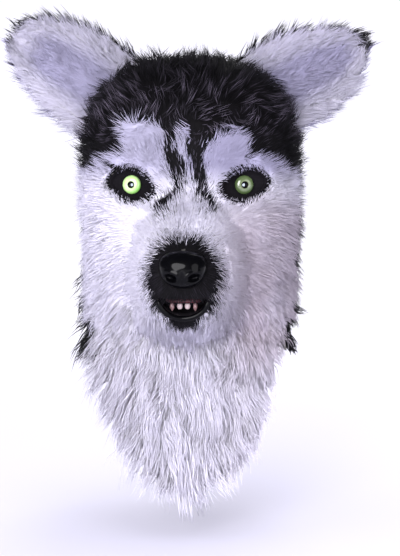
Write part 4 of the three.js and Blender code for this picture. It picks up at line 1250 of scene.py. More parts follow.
    def lengths(self) -> tuple[np.ndarray, np.ndarray]:
        """Work out how long the pile is and how steeply it rises.

        Returns:
            The length, and the rise as a share of the length.
        """
        x, y, z = self.points.T
        reach = np.linalg.norm(self.points - np.array(self.head.nose_tip), axis=1)
        grown = smoothstep(reach, 45 * MM, 130 * MM)
        sides = smoothstep(np.abs(x), 40 * MM, 105 * MM)
        pile = self.muzzle_pile + (self.brow_pile - self.muzzle_pile) * grown
        pile = pile + (self.face_pile - pile) * grown * np.maximum(sides, smoothstep(-z, 235 * MM, 285 * MM))
        mouth = -self.head.mouth_outline_shape().inset(x, z)
        beard = smoothstep(-z, 272 * MM, 298 * MM) * smoothstep(mouth, 8 * MM, 20 * MM) * (y < 0)
        pile = pile + (self.beard_pile - pile) * beard * (1 - grown)
        top = smoothstep(z, -122 * MM, -84 * MM)
        pile = pile + (self.crown_pile - pile) * top
        forehead = smoothstep(z, -150 * MM, -120 * MM) * smoothstep(-z, 60 * MM, 80 * MM)
        forehead = forehead * smoothstep(-y, 50 * MM, 80 * MM)
        pile = pile + (self.brow_pile - pile) * forehead
        behind = smoothstep(y, 0.0, 40 * MM) * smoothstep(-z, 190 * MM, 260 * MM)
        pile = pile + (self.nape_pile - pile) * behind
        low = smoothstep(-z, 300 * MM, 345 * MM) * (y < 0)
        pile = pile + (self.bib_pile - pile) * low
        pile = pile * (1 - 0.45 * smoothstep(x, 60 * MM, 92 * MM) * smoothstep(-z, 275 * MM, 310 * MM))
        rise = 0.38 + 0.2 * grown - 0.1 * low + 0.12 * beard
        rear = smoothstep(y, 60 * MM, 100 * MM)
        pile = pile * (1 - 0.3 * rear * (1 - 0.5 * behind))
        pile = pile * (1 - 0.35 * behind * (x > 0) * (1 - rear))
        rise = rise - 0.16 * rear
        for side in Side:
            gap = -Outline(self.head.eye_outline(side)).inset(x, z)
            near = np.where(y < 0, 1 - smoothstep(gap, 0.0, 14 * MM), 0.0)
            pile = pile + (self.lid_pile - pile) * near
            edge = np.where(y < 0, 1 - smoothstep(gap, 2 * MM, 9 * MM), 0.0)
            rise = rise + (0.78 - rise) * edge
        return pile, rise

    def colors(self, lie: np.ndarray) -> dict[str, np.ndarray]:
        """Work out the colours of the hair at each point of the skin.

        Args:
            lie: How far along the skin the hair reaches, and which way.

        Returns:
            The metres inside the white fur, the share of ticked hair, and the shares of lilac and warm
            painted shade.
        """
        white = self.markings.whiteness(self.points + 0.75 * lie)
        white = np.minimum(white, self.markings.lids(self.points))
        x, y, z = self.points.T
        stripes = (1 - smoothstep(np.abs(x), 28 * MM, 42 * MM)) * smoothstep(-z, 70 * MM, 95 * MM) * (y < 0)
        stripes = stripes * smoothstep(z, -195 * MM, -175 * MM)
        white = white / (1 + 0.8 * stripes + 0.9 * smoothstep(-y, 140 * MM, 165 * MM))
        bridge = np.exp(-(x**2 + (z + 170 * MM) ** 2) / (45 * MM) ** 2)
        # Painted shade in lilac: a light wash over the face above the bib, more at the bridge between the
        # eyes, and a strong band over the brows, stronger on the wearer's left, away from the key light. On
        # the brows it is partly the mask's own grey airbrushing.
        lilac_shade = 0.1 * smoothstep(z, -330 * MM, -290 * MM) + 0.12 * bridge
        lilac_shade = lilac_shade + (0.8 + 0.08 * np.sign(x)) * smoothstep(z, -150 * MM, -118 * MM)
        # Painted shade: warm grey on the wearer's left cheek, away from the key light, fading lower down.
        warm_shade = 0.85 * smoothstep(x, 15 * MM, 70 * MM) * smoothstep(-z, 140 * MM, 185 * MM)
        warm_shade = warm_shade * (1 - 0.75 * smoothstep(-z, 310 * MM, 370 * MM))
        tick = 0.85 * np.exp(-(((z + 64 * MM) / (26 * MM)) ** 2)) * (y < 0) + 0.1
        tick = np.maximum(tick, stripes) + 0.35 * smoothstep(y, 10 * MM, 60 * MM)
        return {"white": white, "tick": tick, "lilac_shade": lilac_shade, "warm_shade": warm_shade}

    def build(self, tree: PileTree, finishes: dict[str, bpy.types.Material]) -> None:
        """Grow every panel of fur.

        Args:
            tree: The node tree that grows hairs.
            finishes: The hairs' material for each slot.
        """
        flow = self.flow()
        pile, rise = self.lengths()
        values = {"flow": flow, "pile": pile, "rise": rise, "thickness": np.ones(len(pile))}
        values |= self.colors(flow * (pile * np.sqrt(1 - rise**2))[:, None])
        for name, chosen in self.zones().items():
            faces = self.faces[chosen]
            used, inverse = np.unique(faces, return_inverse=True)
            piece = mesh_object(name, [], [])
            piece.data.from_pydata(self.points[used].tolist(), [], inverse.reshape(faces.shape).tolist())
            for key, value in values.items():
                attribute(piece.data, key, value[used])
            slot, panel = self.panels[name]
            tree.grow(piece, self.cuts[name], finishes[slot])
            hand_over(piece, slot, panel.value)


EAR_LEFT = Profile(
    ("along", "top", "low"),
    ((-0.35, 1.0, 0.96), (0.0, 1.03, 0.98), (0.3, 0.98, 1.0), (0.55, 0.78, 0.84), (0.76, 0.54, 0.58),
     (0.9, 0.3, 0.32), (0.98, 0.08, 0.08)),
)
EAR_RIGHT = Profile(
    ("along", "top", "low"),
    ((-0.35, 1.0, 1.0), (0.0, 1.06, 1.04), (0.3, 1.04, 0.98), (0.6, 0.92, 0.82), (0.84, 0.68, 0.54),
     (0.96, 0.46, 0.36), (1.02, 0.2, 0.16)),
)


@dataclass
class Ear:
    """One cupped ear: a dark furred back and a white furred lining."""

    side: Side
    outline: Profile
    climb: float
    base_x: float
    base_drop: float
    nod: float
    length: float = 118 * MM
    half_width: float = 52 * MM
    cup: float = 26 * MM
    wall: float = 2.5 * MM
    base_y: float = 8 * MM
    base_lean: float = 10 * MM
    pile: float = 20 * MM
    seam: float = 0.4 * MM
    dark_tip: float = 0.06

    def place(self, along: np.ndarray, across: np.ndarray, lift: np.ndarray | float) -> np.ndarray:
        """Points of the ear's sheet.

        Args:
            along: The share of the way from the root to the tip.
            across: -1 at the lower edge, 1 at the upper one.
            lift: How far to stand off to the front.

        Returns:
            The points, one a row.
        """
        edge = self.outline.at(along)
        up = across * self.half_width * np.where(across > 0, edge["top"], edge["low"])
        climb = math.radians(self.climb)
        out = along * self.length
        x = self.base_x + out * math.cos(climb) - up * math.sin(climb)
        z = -self.base_drop + out * math.sin(climb) + up * math.cos(climb)
        cup = self.cup * (1 - 0.5 * along) * across**2
        nod = self.nod * np.maximum(along - 0.6, 0) / 0.4
        y = self.base_y + self.base_lean * (1 - along) - cup - nod - lift
        return np.stack([self.side.value * x, y, z], axis=-1)

    def build(self, tree: PileTree, finishes: dict[str, bpy.types.Material]) -> None:
        """Grow both faces of the ear.

        Args:
            tree: The node tree that grows hairs.
            finishes: The hairs' material for each slot.
        """
        first, last = self.outline.rows[0][0], self.outline.rows[-1][0]
        steps = np.linspace(first, last, 26)
        shares = np.linspace(-1, 1, 22)
        across, along = np.meshgrid(shares, steps)
        count = len(shares)
        faces = []
        for r in range(len(steps) - 1):
            for c in range(count - 1):
                a = r * count + c
                faces.append((a, a + 1, a + count + 1, a + count))
        tip = self.place(along + 0.05, across, 0.0) - self.place(along, across, 0.0)
        edge = self.place(along, across * 1.05, 0.0) - self.place(along, across * 0.95, 0.0)
        rim = smoothstep(np.abs(across), 0.55, 1.0)
        for face, lift, facing in (("back", -self.wall, -1), ("lining", self.seam, 1)):
            lining = facing > 0
            spread = (0.3 + 0.8 * rim) if lining else (0.1 + 0.4 * rim)
            lean = unit(tip) + unit(edge) * spread[..., None]
            points = self.place(along, across, lift).reshape(-1, 3)
            order = faces if self.side.value * facing < 0 else [entry[::-1] for entry in faces]
            piece = mesh_object(f"ear_pile_{face}_{self.side.word}", [], [])
            piece.data.from_pydata(points.tolist(), [], [tuple(entry) for entry in order])
            end = smoothstep(along, last - self.dark_tip, last - 0.03)
            dark_rim = np.maximum(smoothstep(across, 0.86, 1.0), end).ravel()
            low_rim = smoothstep(-across, 0.5, 0.75).ravel()
            white = (14 - 19 * dark_rim) * MM if lining else (14 * low_rim - 12) * MM
            grown = self.pile * (1 - 0.4 * smoothstep(along, 0.55, last) + 0.12 * rim)
            count = np.ones(len(points))
            # Painted shade: the whole ear is tinted with lilac shade.
            values = {"flow": unit(lean).reshape(-1, 3), "pile": grown.ravel(),
                      "rise": (0.5 - 0.3 * rim).ravel() if lining else 0.4 * count, "white": white,
                      "tick": 0.2 * count, "lilac_shade": 0.88 * count, "warm_shade": 0.0 * count,
                      "thickness": (smoothstep(along, -0.25, -0.05) * (1 + 0.8 * rim)).ravel()}
            if lining:
                # Painted shade: the lining's hollow is painted deeper lilac than its rims.
                hollow_shade = (1 - smoothstep(np.abs(across), 0.2, 0.85)) * (1 - smoothstep(along, 0.6, 0.95))
                values["lilac_shade"] = (0.35 + 0.75 * hollow_shade).ravel()
            for key, value in values.items():
                attribute(piece.data, key, value)
            seed = 30 + facing + 4 * self.side.value
            cut = PileCut(
                hairs=6000 if lining else 2500,
                seed=seed,
                width=0.48 * MM if lining else 0.65 * MM,
                clump=9 * MM,
                pull=0.45,
                ground=1.0 * MM,
                tousle=0.35,
            )
            slot = "white_fur" if lining else "dark_fur"
            tree.grow(piece, cut, finishes[slot if lining else "ear_backs"])
            hand_over(piece, slot, f"ear_{face}_{self.side.word}")


@dataclass(frozen=True)
class ClothFinish:
    """Knitted or woven cloth with a fine raised thread."""

    name: str
    color: Color
    second: Color
    pitch: float = 1.1 * MM
    roughness: float = 0.9
    specular: float = 0.3

    def build(self) -> bpy.types.Material:
        """Make the material.

        Returns:
            The material.
        """
        material = bpy.data.materials.new(self.name)
        material.use_nodes = True
        wires = Wiring(material.node_tree)
        shader = material.node_tree.nodes["Principled BSDF"]
        place = wires.add("ShaderNodeTexCoord").outputs["Object"]
        scale = math.tau / (20 * self.pitch)
        waves = []
        for axis in ("X", "Z"):
            settings = {"wave_type": "BANDS", "bands_direction": axis}
            inputs = {"Vector": place, "Scale": scale, "Distortion": 0.6, "Detail": 1.0}
            waves.append(wires.add("ShaderNodeTexWave", settings, inputs).outputs["Fac"])
        weave = wires.math("MULTIPLY", *waves)
        cloud = wires.noise(place, 30.0, 4.0)
        tone = wires.math("ADD", wires.math("MULTIPLY", weave, 0.6), wires.math("MULTIPLY", cloud, 0.4))
        color = wires.mix("RGBA", tone, (*self.color, 1.0), (*self.second, 1.0))
        wires.feed(shader.inputs["Base Color"], color)
        shader.inputs["Roughness"].default_value = self.roughness
        shader.inputs["Specular IOR Level"].default_value = self.specular
        inputs = {"Strength": 0.6, "Distance": 0.4 * MM, "Height": weave}
        wires.feed(shader.inputs["Normal"], wires.add("ShaderNodeBump", None, inputs).outputs[0])
        return material


@dataclass(frozen=True)
class GlossFinish:
    """Moulded glossy plastic with a faint skin of wear."""

    name: str
    color: Color
    second: Color
    roughness: float = 0.14
    specular: float = 0.5
    coat: float = 0.25
    grain: float = 900.0
    depth: float = 0.06 * MM

    def build(self) -> bpy.types.Material:
        """Make the material.

        Returns:
            The material.
        """
        material = bpy.data.materials.new(self.name)
        material.use_nodes = True
        wires = Wiring(material.node_tree)
        shader = material.node_tree.nodes["Principled BSDF"]
        place = wires.add("ShaderNodeTexCoord").outputs["Object"]
        cloud = wires.noise(place, 60.0, 3.0)
        color = wires.mix("RGBA", cloud, (*self.color, 1.0), (*self.second, 1.0))
        wires.feed(shader.inputs["Base Color"], color)
        rough = wires.ramp(cloud, 0.3, 0.8, self.roughness, self.roughness + 0.12)
        wires.feed(shader.inputs["Roughness"], rough)
        shader.inputs["Specular IOR Level"].default_value = self.specular
        shader.inputs["Coat Weight"].default_value = self.coat
        shader.inputs["Coat Roughness"].default_value = 0.06
        pores = wires.add("ShaderNodeTexVoronoi", None, {"Vector": place, "Scale": self.grain}).outputs[0]
        inputs = {"Strength": 0.35, "Distance": self.depth, "Height": pores}
        wires.feed(shader.inputs["Normal"], wires.add("ShaderNodeBump", None, inputs).outputs[0])
        return material


@dataclass(frozen=True)
class IrisFinish:
    """A pale green glass-like iris, deeper green towards its rim, with fine rays and painted shade on its
    lower side.
    """

    name: str
    inner: Color
    outer: Color
    # rim: the deeper green of painted shade on the iris's lower side towards +X.
    rim: Color

    def build(self) -> bpy.types.Material:
        """Make the material. It reads how far out on the iris a place lies.

        Returns:
            The material.
        """
        material = bpy.data.materials.new(self.name)
        material.use_nodes = True
        wires = Wiring(material.node_tree)
        shader = material.node_tree.nodes["Principled BSDF"]
        radius = wires.stored("radius")
        spoke = wires.math("MULTIPLY", wires.stored("turn"), 14.0)
        spokes = wires.add("ShaderNodeCombineXYZ", None, {"X": spoke}).outputs[0]
        rays = wires.noise(spokes, 3.0, 3.0)
        body = wires.mix("RGBA", wires.ramp(radius, 0.35, 0.95), (*self.inner, 1.0), (*self.outer, 1.0))
        # Painted shade: darken the iris towards its lower side at +X, away from the key light.
        body = wires.mix("RGBA", wires.math("MULTIPLY", wires.stored("low"), 0.7), body, (*self.rim, 1.0))
        shade = wires.ramp(rays, 0.3, 0.75, 0.86, 1.0)
        edge = wires.ramp(radius, 0.9, 1.0, 1.0, 0.35)
        body = wires.mix("RGBA", wires.math("MULTIPLY", shade, edge), (0.05, 0.09, 0.03, 1.0), body)
        wires.feed(shader.inputs["Base Color"], body)
        shader.inputs["Roughness"].default_value = 0.1
        shader.inputs["Coat Weight"].default_value = 1.0
        shader.inputs["Coat Roughness"].default_value = 0.03
        return material


def lathe(name: str, profile: list[tuple[float, float]], sides: int = 48) -> bpy.types.Object:
    """Turn a profile round the line of sight.

    Args:
        name: The object's name.
        profile: Radius and height towards the viewer, from the axis to the axis.
        sides: How many sides.

    Returns:
        The closed piece at the origin, facing -Y.
    """
    angles = np.linspace(0, math.tau, sides, endpoint=False)
    grid = []
    for radius, height in profile:
        ring = [radius * np.cos(angles), np.full(sides, -height), radius * np.sin(angles)]
        grid.append(np.stack(ring, axis=-1))
    points: list = []
    faces: list = []
    add_tube(points, faces, np.array(grid))
    return mesh_object(name, points, faces)


def eased(places: list[tuple[float, float]], steps: int = 6) -> list[tuple[float, float]]:
    """Round off a profile that is given by a few places."""
    return [tuple(point) for point in curve_through(np.array(places), steps)]


def outline_body(name: str, rings: list[np.ndarray]) -> bpy.types.Object:
    """Join rings of points from the back to the front into a closed body.

    Args:
        name: The body's name.
        rings: The rings, each with as many points.

    Returns:
        The closed body.
    """
    points: list = []
    faces: list = []
    add_tube(points, faces, np.array(rings))
    return mesh_object(name, points, faces)


@dataclass
class Eye:
    """One eye: a dished dark surround, a domed iris and a ringed pupil."""

    head: HeadShape
    side: Side
    turn: float = 12.0
    surround_wall: float = 2 * MM
    surround_rim: float = 2 * MM
    stand_out: float = 7 * MM
    floor_sink: float = 4 * MM
    iris_radius: float = 11 * MM
    iris_dome: float = 4.5 * MM
    iris_edge: float = 2.5 * MM
    pupil_radius: float = 3.8 * MM
    pupil_height: float = 2 * MM
    pupil_stand_out: float = 0.8 * MM
    gap: float = 0.35 * MM

    def floor(self, x: np.ndarray | float) -> np.ndarray:
        """The Y of the dish's floor.

        Args:
            x: The X to read it at.

        Returns:
            The Y there.
        """
        centre = self.head.hood_front(np.array(self.head.eye_spread), np.array(-self.head.eye_drop))
        lean = math.tan(math.radians(self.turn))
        return centre + self.floor_sink + lean * (np.abs(x) - self.head.eye_spread)

    def ring(self, margin: float, scale: float, depth: str, shift: float = 0.0) -> np.ndarray:
        """One ring of the dish, on its floor or at its rim.

        Args:
            margin: How far it stands off the opening's edge.
            scale: Its size before the margin.
            depth: floor or rim.
            shift: How far it lies behind that.

        Returns:
            The ring's points, one a row.
        """
        x, z = self.head.eye_outline(self.side, margin, scale).T
        y = self.floor(x) if depth == "floor" else self.head.hood_front(x, z) - self.stand_out
        return np.stack([x, y + shift, z], axis=-1)

    def seated(self, piece: bpy.types.Object, stand_off: float) -> None:
        """Turn a lathed piece to the eye's direction and move it to the dish's floor.

        Args:
            piece: The lathed piece.
            stand_off: How far it stands before the floor.
        """
        turn = self.side.value * math.radians(self.turn)
        back = float(self.floor(self.head.eye_spread)) - self.gap
        cos, sin = math.cos(turn), math.sin(turn)
        for vertex in piece.data.vertices:
            x, y, z = vertex.co
            y -= stand_off
            across = x * cos - y * sin + self.side.value * self.head.eye_spread
            vertex.co = Vector((across, x * sin + y * cos + back, z - self.head.eye_drop))

    def build(self, socket: bpy.types.Material, iris: bpy.types.Material, black: bpy.types.Material,
              glint: bpy.types.Material) -> None:
        """Build the eye's pieces.

        Args:
            socket: The surround's mesh cloth.
            iris: The iris's finish.
            black: The pupil's finish.
            glint: The finish of the pale centre, a painted highlight.
        """
        word = self.side.word
        inner = -self.surround_rim
        rings = [
            self.ring(0, 1, "floor", self.surround_wall),
            self.ring(0, 1, "rim", 1 * MM),
            self.ring(-0.5 * MM, 1, "rim"),
            self.ring(0.6 * inner, 1, "rim", -0.3 * MM),
            self.ring(inner, 1, "rim", 0.6 * MM),
            self.ring(inner, 0.94, "floor", -2.2 * MM),
            self.ring(inner, 0.86, "floor", -0.5 * MM),
            self.ring(inner, 0.6, "floor"),
        ]
        dish = outline_body(f"eye_dish_{word}", rings)
        dish.data.materials.append(socket)
        hand_over(dish, "socket_cloth", f"eye_surround_{word}")
        recess = self.pupil_radius + self.gap
        top = self.iris_edge + self.iris_dome
        dome = [(0.0, 0.0), (self.iris_radius, 0.0), (self.iris_radius, 0.8 * self.iris_edge)]
        for k in range(1, 13):
            angle = math.radians(90 * k / 13)
            radius = self.iris_radius + (recess - self.iris_radius) * (1 - math.cos(angle))
            dome.append((radius, self.iris_edge + self.iris_dome * math.sin(angle)))
        dome += [(recess, top), (recess, top - self.pupil_height), (0.0, top - self.pupil_height)]
        ball = lathe(f"iris_dome_{word}", dome, 64)
        places = np.array([vertex.co[:] for vertex in ball.data.vertices])
        radius = np.hypot(places[:, 0], places[:, 2]) / self.iris_radius
        attribute(ball.data, "radius", radius)
        attribute(ball.data, "turn", np.abs(np.arctan2(places[:, 0], places[:, 2])))
        # Painted shade: the share of the iris on its lower side towards +X, which the finish darkens.
        low = smoothstep(places[:, 0] * 0.7 - places[:, 2] * 0.7, 0.0, self.iris_radius)
        attribute(ball.data, "low", low)
        self.seated(ball, 0.0)
        ball.data.materials.append(iris)
        hand_over(ball, "iris", f"iris_{word}")
        height = self.pupil_height - self.gap + self.pupil_stand_out
        r = self.pupil_radius
        ring = [(0.0, 0.0), (r, 0.0), (r, height - 0.7 * MM)]
        ring += eased([(0.97 * r, height - 0.4 * MM), (0.85 * r, height), (0.7 * r, height - 0.05 * MM),
                       (0.58 * r, height - 0.6 * MM)], 4)
        ring += [(0.5 * r, height - 0.75 * MM), (0.0, height - 0.75 * MM)]
        pupil = lathe(f"pupil_ring_{word}", ring, 40)
        self.seated(pupil, top - self.pupil_height + self.gap)
        pupil.data.materials.append(black)
        pupil.data.materials.append(glint)
        # Painted highlight: the faces near the pupil's centre take the pale finish.
        centre = self.side.value * self.head.eye_spread
        for face in pupil.data.polygons:
            x, _, z = face.center
            if math.hypot(x - centre, z + self.head.eye_drop) < 0.42 * r:
                face.material_index = 1
        hand_over(pupil, "gloss_black", f"pupil_{word}")


@dataclass
class Muzzle:
    """What is set into the muzzle: the nose, the lip, the mouth's lining, the gum and the teeth."""

    head: HeadShape
    nose_half_width: float = 25 * MM
    nose_half_height: float = 20 * MM
    nose_half_depth: float = 22 * MM
    nostril_radius: float = 4.6 * MM
    nostril_spread: float = 12.5 * MM
    nostril_drop: float = 7.5 * MM
    lip_radius: float = 3.2 * MM
    lining_wall: float = 1.6 * MM
    gum_radius: float = 2.6 * MM
    gum_half_width: float = 19 * MM
    gum_bow: float = 6 * MM
    gum_drop: float = 263 * MM
    gum_y: float = -206 * MM
    tooth_radius: float = 2.9 * MM
    tooth_pitch: float = 8.4 * MM
    front_length: float = 6.5 * MM
    fang_length: float = 8.5 * MM
    gap: float = 0.35 * MM

    def nose(self, black: bpy.types.Material) -> None:
        """Build the nose, a rounded wedge with a groove and two nostrils.

        Args:
            black: Its finish.
        """
        lat = np.linspace(0, math.pi, 56)
        lon = np.linspace(0, math.tau, 72, endpoint=False)
        turn, rise = np.meshgrid(lon, lat)
        u, d, w = np.sin(rise) * np.cos(turn), -np.cos(rise), np.sin(rise) * np.sin(turn)
        taper = 1 + 0.08 * w - 0.12 * np.maximum(-w, 0)
        groove = 0.06 * np.exp(-((u / 0.09) ** 2)) * smoothstep(-w, -0.1, 0.5)
        square = 1 / (np.abs(u) ** 2.5 + np.abs(w) ** 2.5 + np.abs(d) ** 2.5) ** (1 / 2.5)
        _, tip_y, tip_z = self.head.nose_tip
        x = u * taper * square * self.nose_half_width
        z = tip_z - 1.5 * MM + w * square * self.nose_half_height
        y = tip_y + d * square * (1 - groove) * self.nose_half_depth
        for side in Side:
            hole_x, hole_z = side.value * self.nostril_spread, tip_z - 1.5 * MM - self.nostril_drop
            lean = (z - hole_z) * 0.5 * side.value
            away = np.hypot((x - hole_x - lean) / 1.2, (z - hole_z) / 0.85) / self.nostril_radius
            front = smoothstep(-d, 0.1, 0.4)
            y = y + front * (8 * MM * np.exp(-(away**3)) - 0.8 * MM * np.exp(-(((away - 1.5) / 0.4) ** 2)))
        points: list = []
        faces: list = []
        add_tube(points, faces, np.stack([x, y, z], axis=-1))
        nose = mesh_object("nose_leather", points, faces)
        nose.data.materials.append(black)
        hand_over(nose, "gloss_black", "nose")

    def lip_path(self, steps: int = 40) -> np.ndarray:
        """The middle line of the lower lip.

        Args:
            steps: How many stretches it has.

        Returns:
            The points of the line, one a row.
        """
        path = []
        for turn in np.linspace(math.pi + 0.12, math.tau - 0.12, steps + 1):
            x = math.cos(turn) * self.head.mouth_half_width
            z = -self.head.mouth_top_drop + math.sin(turn) * (self.head.mouth_depth + 1 * MM)
            path.append((x, self.head.muzzle_front(x, z) - self.lip_radius, z))
        return np.array(path)

    def rod(
        self, name: str, path: np.ndarray, radius: float, sides: int = 20, ends: float = 0.35
    ) -> bpy.types.Object:
        """Build a round rod along a path with rounded ends.

        Args:
            name: The piece's name.
            path: The middle line.
            radius: The rod's radius.
            sides: How many sides it has.
            ends: The share of the radius at the very ends.

        Returns:
            The closed rod.
        """
        along = unit(np.gradient(path, axis=0))
        across = unit(np.cross(along, np.array([0.0, 1.0, 0.0])))
        over = np.cross(across, along)
        angles = np.linspace(0, math.tau, sides, endpoint=False)
        share = np.linspace(-1, 1, len(path))
        thick = radius * (ends + (1 - ends) * (1 - np.abs(share) ** 12))
        cos, sin = np.cos(angles)[None, :, None], np.sin(angles)[None, :, None]
        circle = cos * across[:, None] + sin * over[:, None]
        points: list = []
        faces: list = []
        add_tube(points, faces, path[:, None] + circle * thick[:, None, None])
        return mesh_object(name, points, faces)

    def build(self, black: bpy.types.Material, lining: bpy.types.Material, gum: bpy.types.Material,
              tooth: bpy.types.Material, shaded: bpy.types.Material) -> None:
        """Build the pieces of nose and mouth.

        Args:
            black: The nose's and lip's finish.
            lining: The finish of the mouth's lining.
            gum: The gum's finish.
            tooth: The front teeth's finish.
            shaded: The outer teeth's finish, a darker copy with painted shade.
        """
        self.nose(black)
        lip = self.rod("lip_roll", self.lip_path(), self.lip_radius)
        lip.data.materials.append(black)
        hand_over(lip, "gloss_black", "lower_lip")
        rings = []
        front, back = float(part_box("mouth_lining")[0][1]), self.head.mouth_back
        for margin, y in ((0.0, back), (0.0, front), (-self.lining_wall, front),
                          (-self.lining_wall, back - self.lining_wall)):
            x, z = self.head.mouth_outline(margin).T
            rings.append(np.stack([x, np.full(len(x), y), z], axis=-1))
        sleeve = outline_body("mouth_sleeve", rings)
        sleeve.data.materials.append(lining)
        hand_over(sleeve, "socket_cloth", "mouth_lining")
        share = np.linspace(-1, 1, 33)
        path = np.stack([share * self.gum_half_width, self.gum_y + self.gum_bow * share**2,
                         np.full(33, -self.gum_drop)], axis=-1)
        ridge = self.rod("gum_ridge", path, self.gum_radius)
        ridge.data.materials.append(gum)
        hand_over(ridge, "gum", "upper_gum")
        for k, step in enumerate((-1.5, -0.5, 0.5, 1.5), 1):
            outer = abs(step) > 1
            length = self.fang_length if outer else self.front_length
            tip = 0.35 if outer else 0.62
            r = self.tooth_radius * (0.85 if outer else 1.05)
            profile = [
                (0.0, -length), (tip * r, -0.9 * length), (0.95 * r, -0.6 * length),
                (r, -0.3 * length), (0.8 * r, 0.0), (0.0, 0.0),
            ]
            angles = np.linspace(0, math.tau, 28, endpoint=False)
            grid = [np.stack([a * np.cos(angles), a * np.sin(angles), np.full(28, h)], axis=-1)
                    for a, h in eased(profile[:5], 4) + [profile[5]]]
            x = step * self.tooth_pitch
            y = self.gum_y + self.gum_bow * (x / self.gum_half_width) ** 2
            shift = np.array([x, y, -self.gum_drop - self.gum_radius - self.gap])
            points: list = []
            faces: list = []
            add_tube(points, faces, np.array(grid) + shift)
            piece = mesh_object(f"tooth_crown_{k}", points, faces)
            # Painted shade: the outer teeth take the darker finish.
            piece.data.materials.append(shaded if outer else tooth)
            hand_over(piece, "tooth", f"tooth_{k}")


@dataclass
class Backing:
    """The knitted cloth of the hood and of the bib, which the fur is sewn to."""

    bib_width: float = 285 * MM
    bib_length: float = 178 * MM
    bib_area: float = 0.0273

    def build(self, knit: bpy.types.Material) -> None:
        """Dress both cloths in the knit.

        Args:
            knit: The cloths' finish.
        """
        for name in ("hood_backing", "bib_backing"):
            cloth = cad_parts[name]
            cloth.data.materials.clear()
            cloth.data.materials.append(knit)
            LOG.info("%s: knitted cloth", name)


@dataclass
class Studio:
    """The camera, the pale floor and the soft light."""

    target: tuple[float, float, float] = (13 * MM, -60 * MM, -251 * MM)
    distance: float = 1.76
    azimuth: float = 1.8
    elevation: float = 5.0
    focal_pixels: float = 1500.0
    sensor: float = 36.0
    floor_z: float = -0.54
    floor_radius: float = 9.0

    def camera(self) -> None:
        """Place the camera at the photograph's angle."""
        az, el = math.radians(self.azimuth), math.radians(self.elevation)
        back = Vector((math.sin(az) * math.cos(el), -math.cos(az) * math.cos(el), math.sin(el)))
        data = bpy.data.cameras.new("camera")
        data.sensor_width = self.sensor
        data.lens = self.focal_pixels * self.sensor / IMAGE_HEIGHT
        data.clip_end = 20.0
        eye = bpy.data.objects.new("camera", data)
        eye.location = Vector(self.target) + back * self.distance
        eye.rotation_euler = (-back).to_track_quat("-Z", "Y").to_euler()
        bpy.context.scene.collection.objects.link(eye)
        bpy.context.scene.camera = eye

    def light(
        self, name: str, place: tuple[float, float, float], size: float, power: float, color: Color
    ) -> None:
        """Add one soft area light that faces the mask.

        Args:
            name: The light's name.
            place: Where it stands.
            size: The width across.
            power: Its power in watts.
            color: Its colour.
        """
        data = bpy.data.lights.new(name, "AREA")
        data.shape = "DISK"
        data.size = size
        data.energy = power
        data.color = color
        lamp = bpy.data.objects.new(name, data)
        lamp.location = place
        lamp.rotation_euler = (Vector(self.target) - Vector(place)).to_track_quat("-Z", "Y").to_euler()
        bpy.context.scene.collection.objects.link(lamp)

    def floor(self) -> None:
        """Lay a round pale floor with painted shade near the mask and painted light towards its edge, where
        it grows paler and glows.
        """
        angles = np.linspace(0, math.tau, 96, endpoint=False)
        radius = self.floor_radius
        points = [(radius * math.cos(a), radius * math.sin(a), self.floor_z) for a in angles]
        disc = mesh_object("studio_floor", points, [range(len(points))])
        material = bpy.data.materials.new("floor_painted_shade_and_glow")
        material.use_nodes = True
        wires = Wiring(material.node_tree)
        shader = material.node_tree.nodes["Principled BSDF"]
        place = wires.add("ShaderNodeTexCoord").outputs["Object"]
        cloud = wires.noise(place, 1.5, 2.0)
        # Painted shade: the floor is darker lilac near the mask.
        near = wires.mix("RGBA", cloud, (0.68, 0.67, 0.76, 1.0), (0.72, 0.71, 0.79, 1.0))
        away = wires.add("ShaderNodeVectorMath", {"operation": "LENGTH"}, {0: place}).outputs["Value"]
        # Painted light: the floor grows paler and glows further out, so it fades into the white room.
        tone = wires.mix("RGBA", wires.ramp(away, 0.9, 2.6), near, (0.99, 0.99, 0.99, 1.0))
        wires.feed(shader.inputs["Base Color"], tone)
        shader.inputs["Emission Color"].default_value = (1.0, 1.0, 0.98, 1.0)
        wires.feed(shader.inputs["Emission Strength"], wires.ramp(away, 0.9, 2.6, 0.0, 0.07))
        shader.inputs["Roughness"].default_value = 0.9
        shader.inputs["Specular IOR Level"].default_value = 0.0
        disc.data.materials.append(material)

    def world(self) -> None:
        """Fill the room with an even pale light."""
        world = bpy.data.worlds.new("room")
        world.use_nodes = True
        wires = Wiring(world.node_tree)
        background = world.node_tree.nodes["Background"]
        path = wires.add("ShaderNodeLightPath").outputs
        background.inputs["Color"].default_value = (0.91, 0.9, 1.0, 1.0)
        lit = wires.mix("FLOAT", path["Is Glossy Ray"], 1.16, 0.07)
        wires.feed(background.inputs["Strength"], wires.mix("FLOAT", path["Is Camera Ray"], lit, 1.15))
        bpy.context.scene.world = world

    def build(self) -> None:
        """Set up the whole studio."""
        self.camera()
        self.world()
        self.floor()
        self.light("key", (-0.5, -2.0, 0.2), 1.2, 38.0, (0.98, 0.97, 1.0))
        self.light("fill", (1.4, -1.7, 0.0), 1.4, 12.0, (0.97, 0.96, 1.0))
        self.light("rim", (0.4, 1.3, 1.0), 1.2, 14.0, (1.0, 1.0, 1.0))
        view = bpy.context.scene.view_settings
        view.view_transform = "Standard"
        view.look = "None"


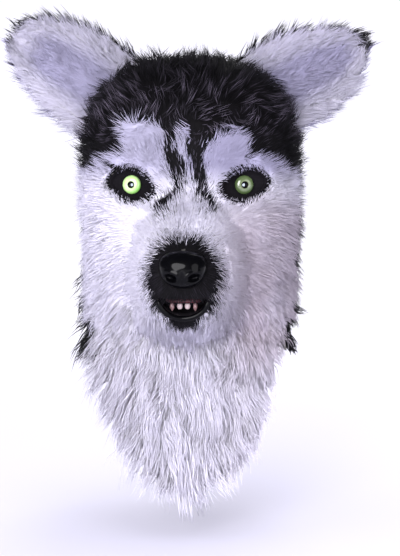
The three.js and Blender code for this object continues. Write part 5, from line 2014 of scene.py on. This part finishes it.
def main() -> None:
    """Build the mask piece by piece."""
    logging.basicConfig(level=logging.INFO, format="%(name)s: %(message)s")
    Studio().build()
    head = HeadShape()
    marks = Markings(head)
    finishes = {
        "white_fur": PileFinish("white_pile", 0.15).build(),
        "dark_fur": PileFinish("dark_pile", 0.02).build(),
        "ear_backs": PileFinish("ear_back_pile", 0.02, soft=0.15).build(),
    }
    tree = PileTree()
    Coat(head, marks).build(tree, finishes)
    Ear(Side.LEFT, EAR_LEFT, 28.0, 107 * MM, 27 * MM, 3 * MM, dark_tip=0.2).build(tree, finishes)
    Ear(Side.RIGHT, EAR_RIGHT, 32.0, 109 * MM, 29 * MM, 16 * MM).build(tree, finishes)
    knit = ClothFinish("backing_knit", (0.15, 0.14, 0.135), (0.3, 0.29, 0.28)).build()
    mesh_cloth = ClothFinish(
        "socket_mesh", (0.004, 0.0035, 0.0045), (0.016, 0.014, 0.018), pitch=1.6 * MM, specular=0.08
    ).build()
    black = GlossFinish(
        "black_gloss", (0.001, 0.001, 0.0014), (0.002, 0.002, 0.0028), roughness=0.3, specular=0.02, coat=0.2
    ).build()
    # Painted highlight: the pale grey-blue centre of each pupil.
    painted_glint = GlossFinish("pupil_painted_glint", (0.35, 0.42, 0.48), (0.5, 0.56, 0.62)).build()
    gum = GlossFinish("gum_red", (0.09, 0.02, 0.028), (0.16, 0.045, 0.055), 0.25).build()
    tooth = GlossFinish("tooth_ivory", (0.6, 0.46, 0.48), (0.74, 0.62, 0.63), 0.15).build()
    # Painted shade: the outer teeth get a darker, pinker copy of the tooth finish.
    shaded_tooth = GlossFinish("tooth_shaded", (0.3, 0.17, 0.18), (0.42, 0.27, 0.28), 0.2).build()
    # Painted shade: the left iris is a much darker version of the right one's green, for the eye on the side
    # away from the key light.
    shaded_left_iris = IrisFinish(
        "iris_left_glass_painted_shade", (0.14, 0.18, 0.085), (0.085, 0.125, 0.05), (0.045, 0.08, 0.025)
    ).build()
    right_iris = IrisFinish(
        "iris_right_glass", (0.70, 0.88, 0.45), (0.52, 0.80, 0.30), (0.22, 0.62, 0.10)
    ).build()
    Eye(head, Side.LEFT).build(mesh_cloth, shaded_left_iris, black, painted_glint)
    Eye(head, Side.RIGHT).build(mesh_cloth, right_iris, black, painted_glint)
    Muzzle(head).build(black, mesh_cloth, gum, tooth, shaded_tooth)
    Backing().build(knit)


if __name__ == "__main__":
    main()
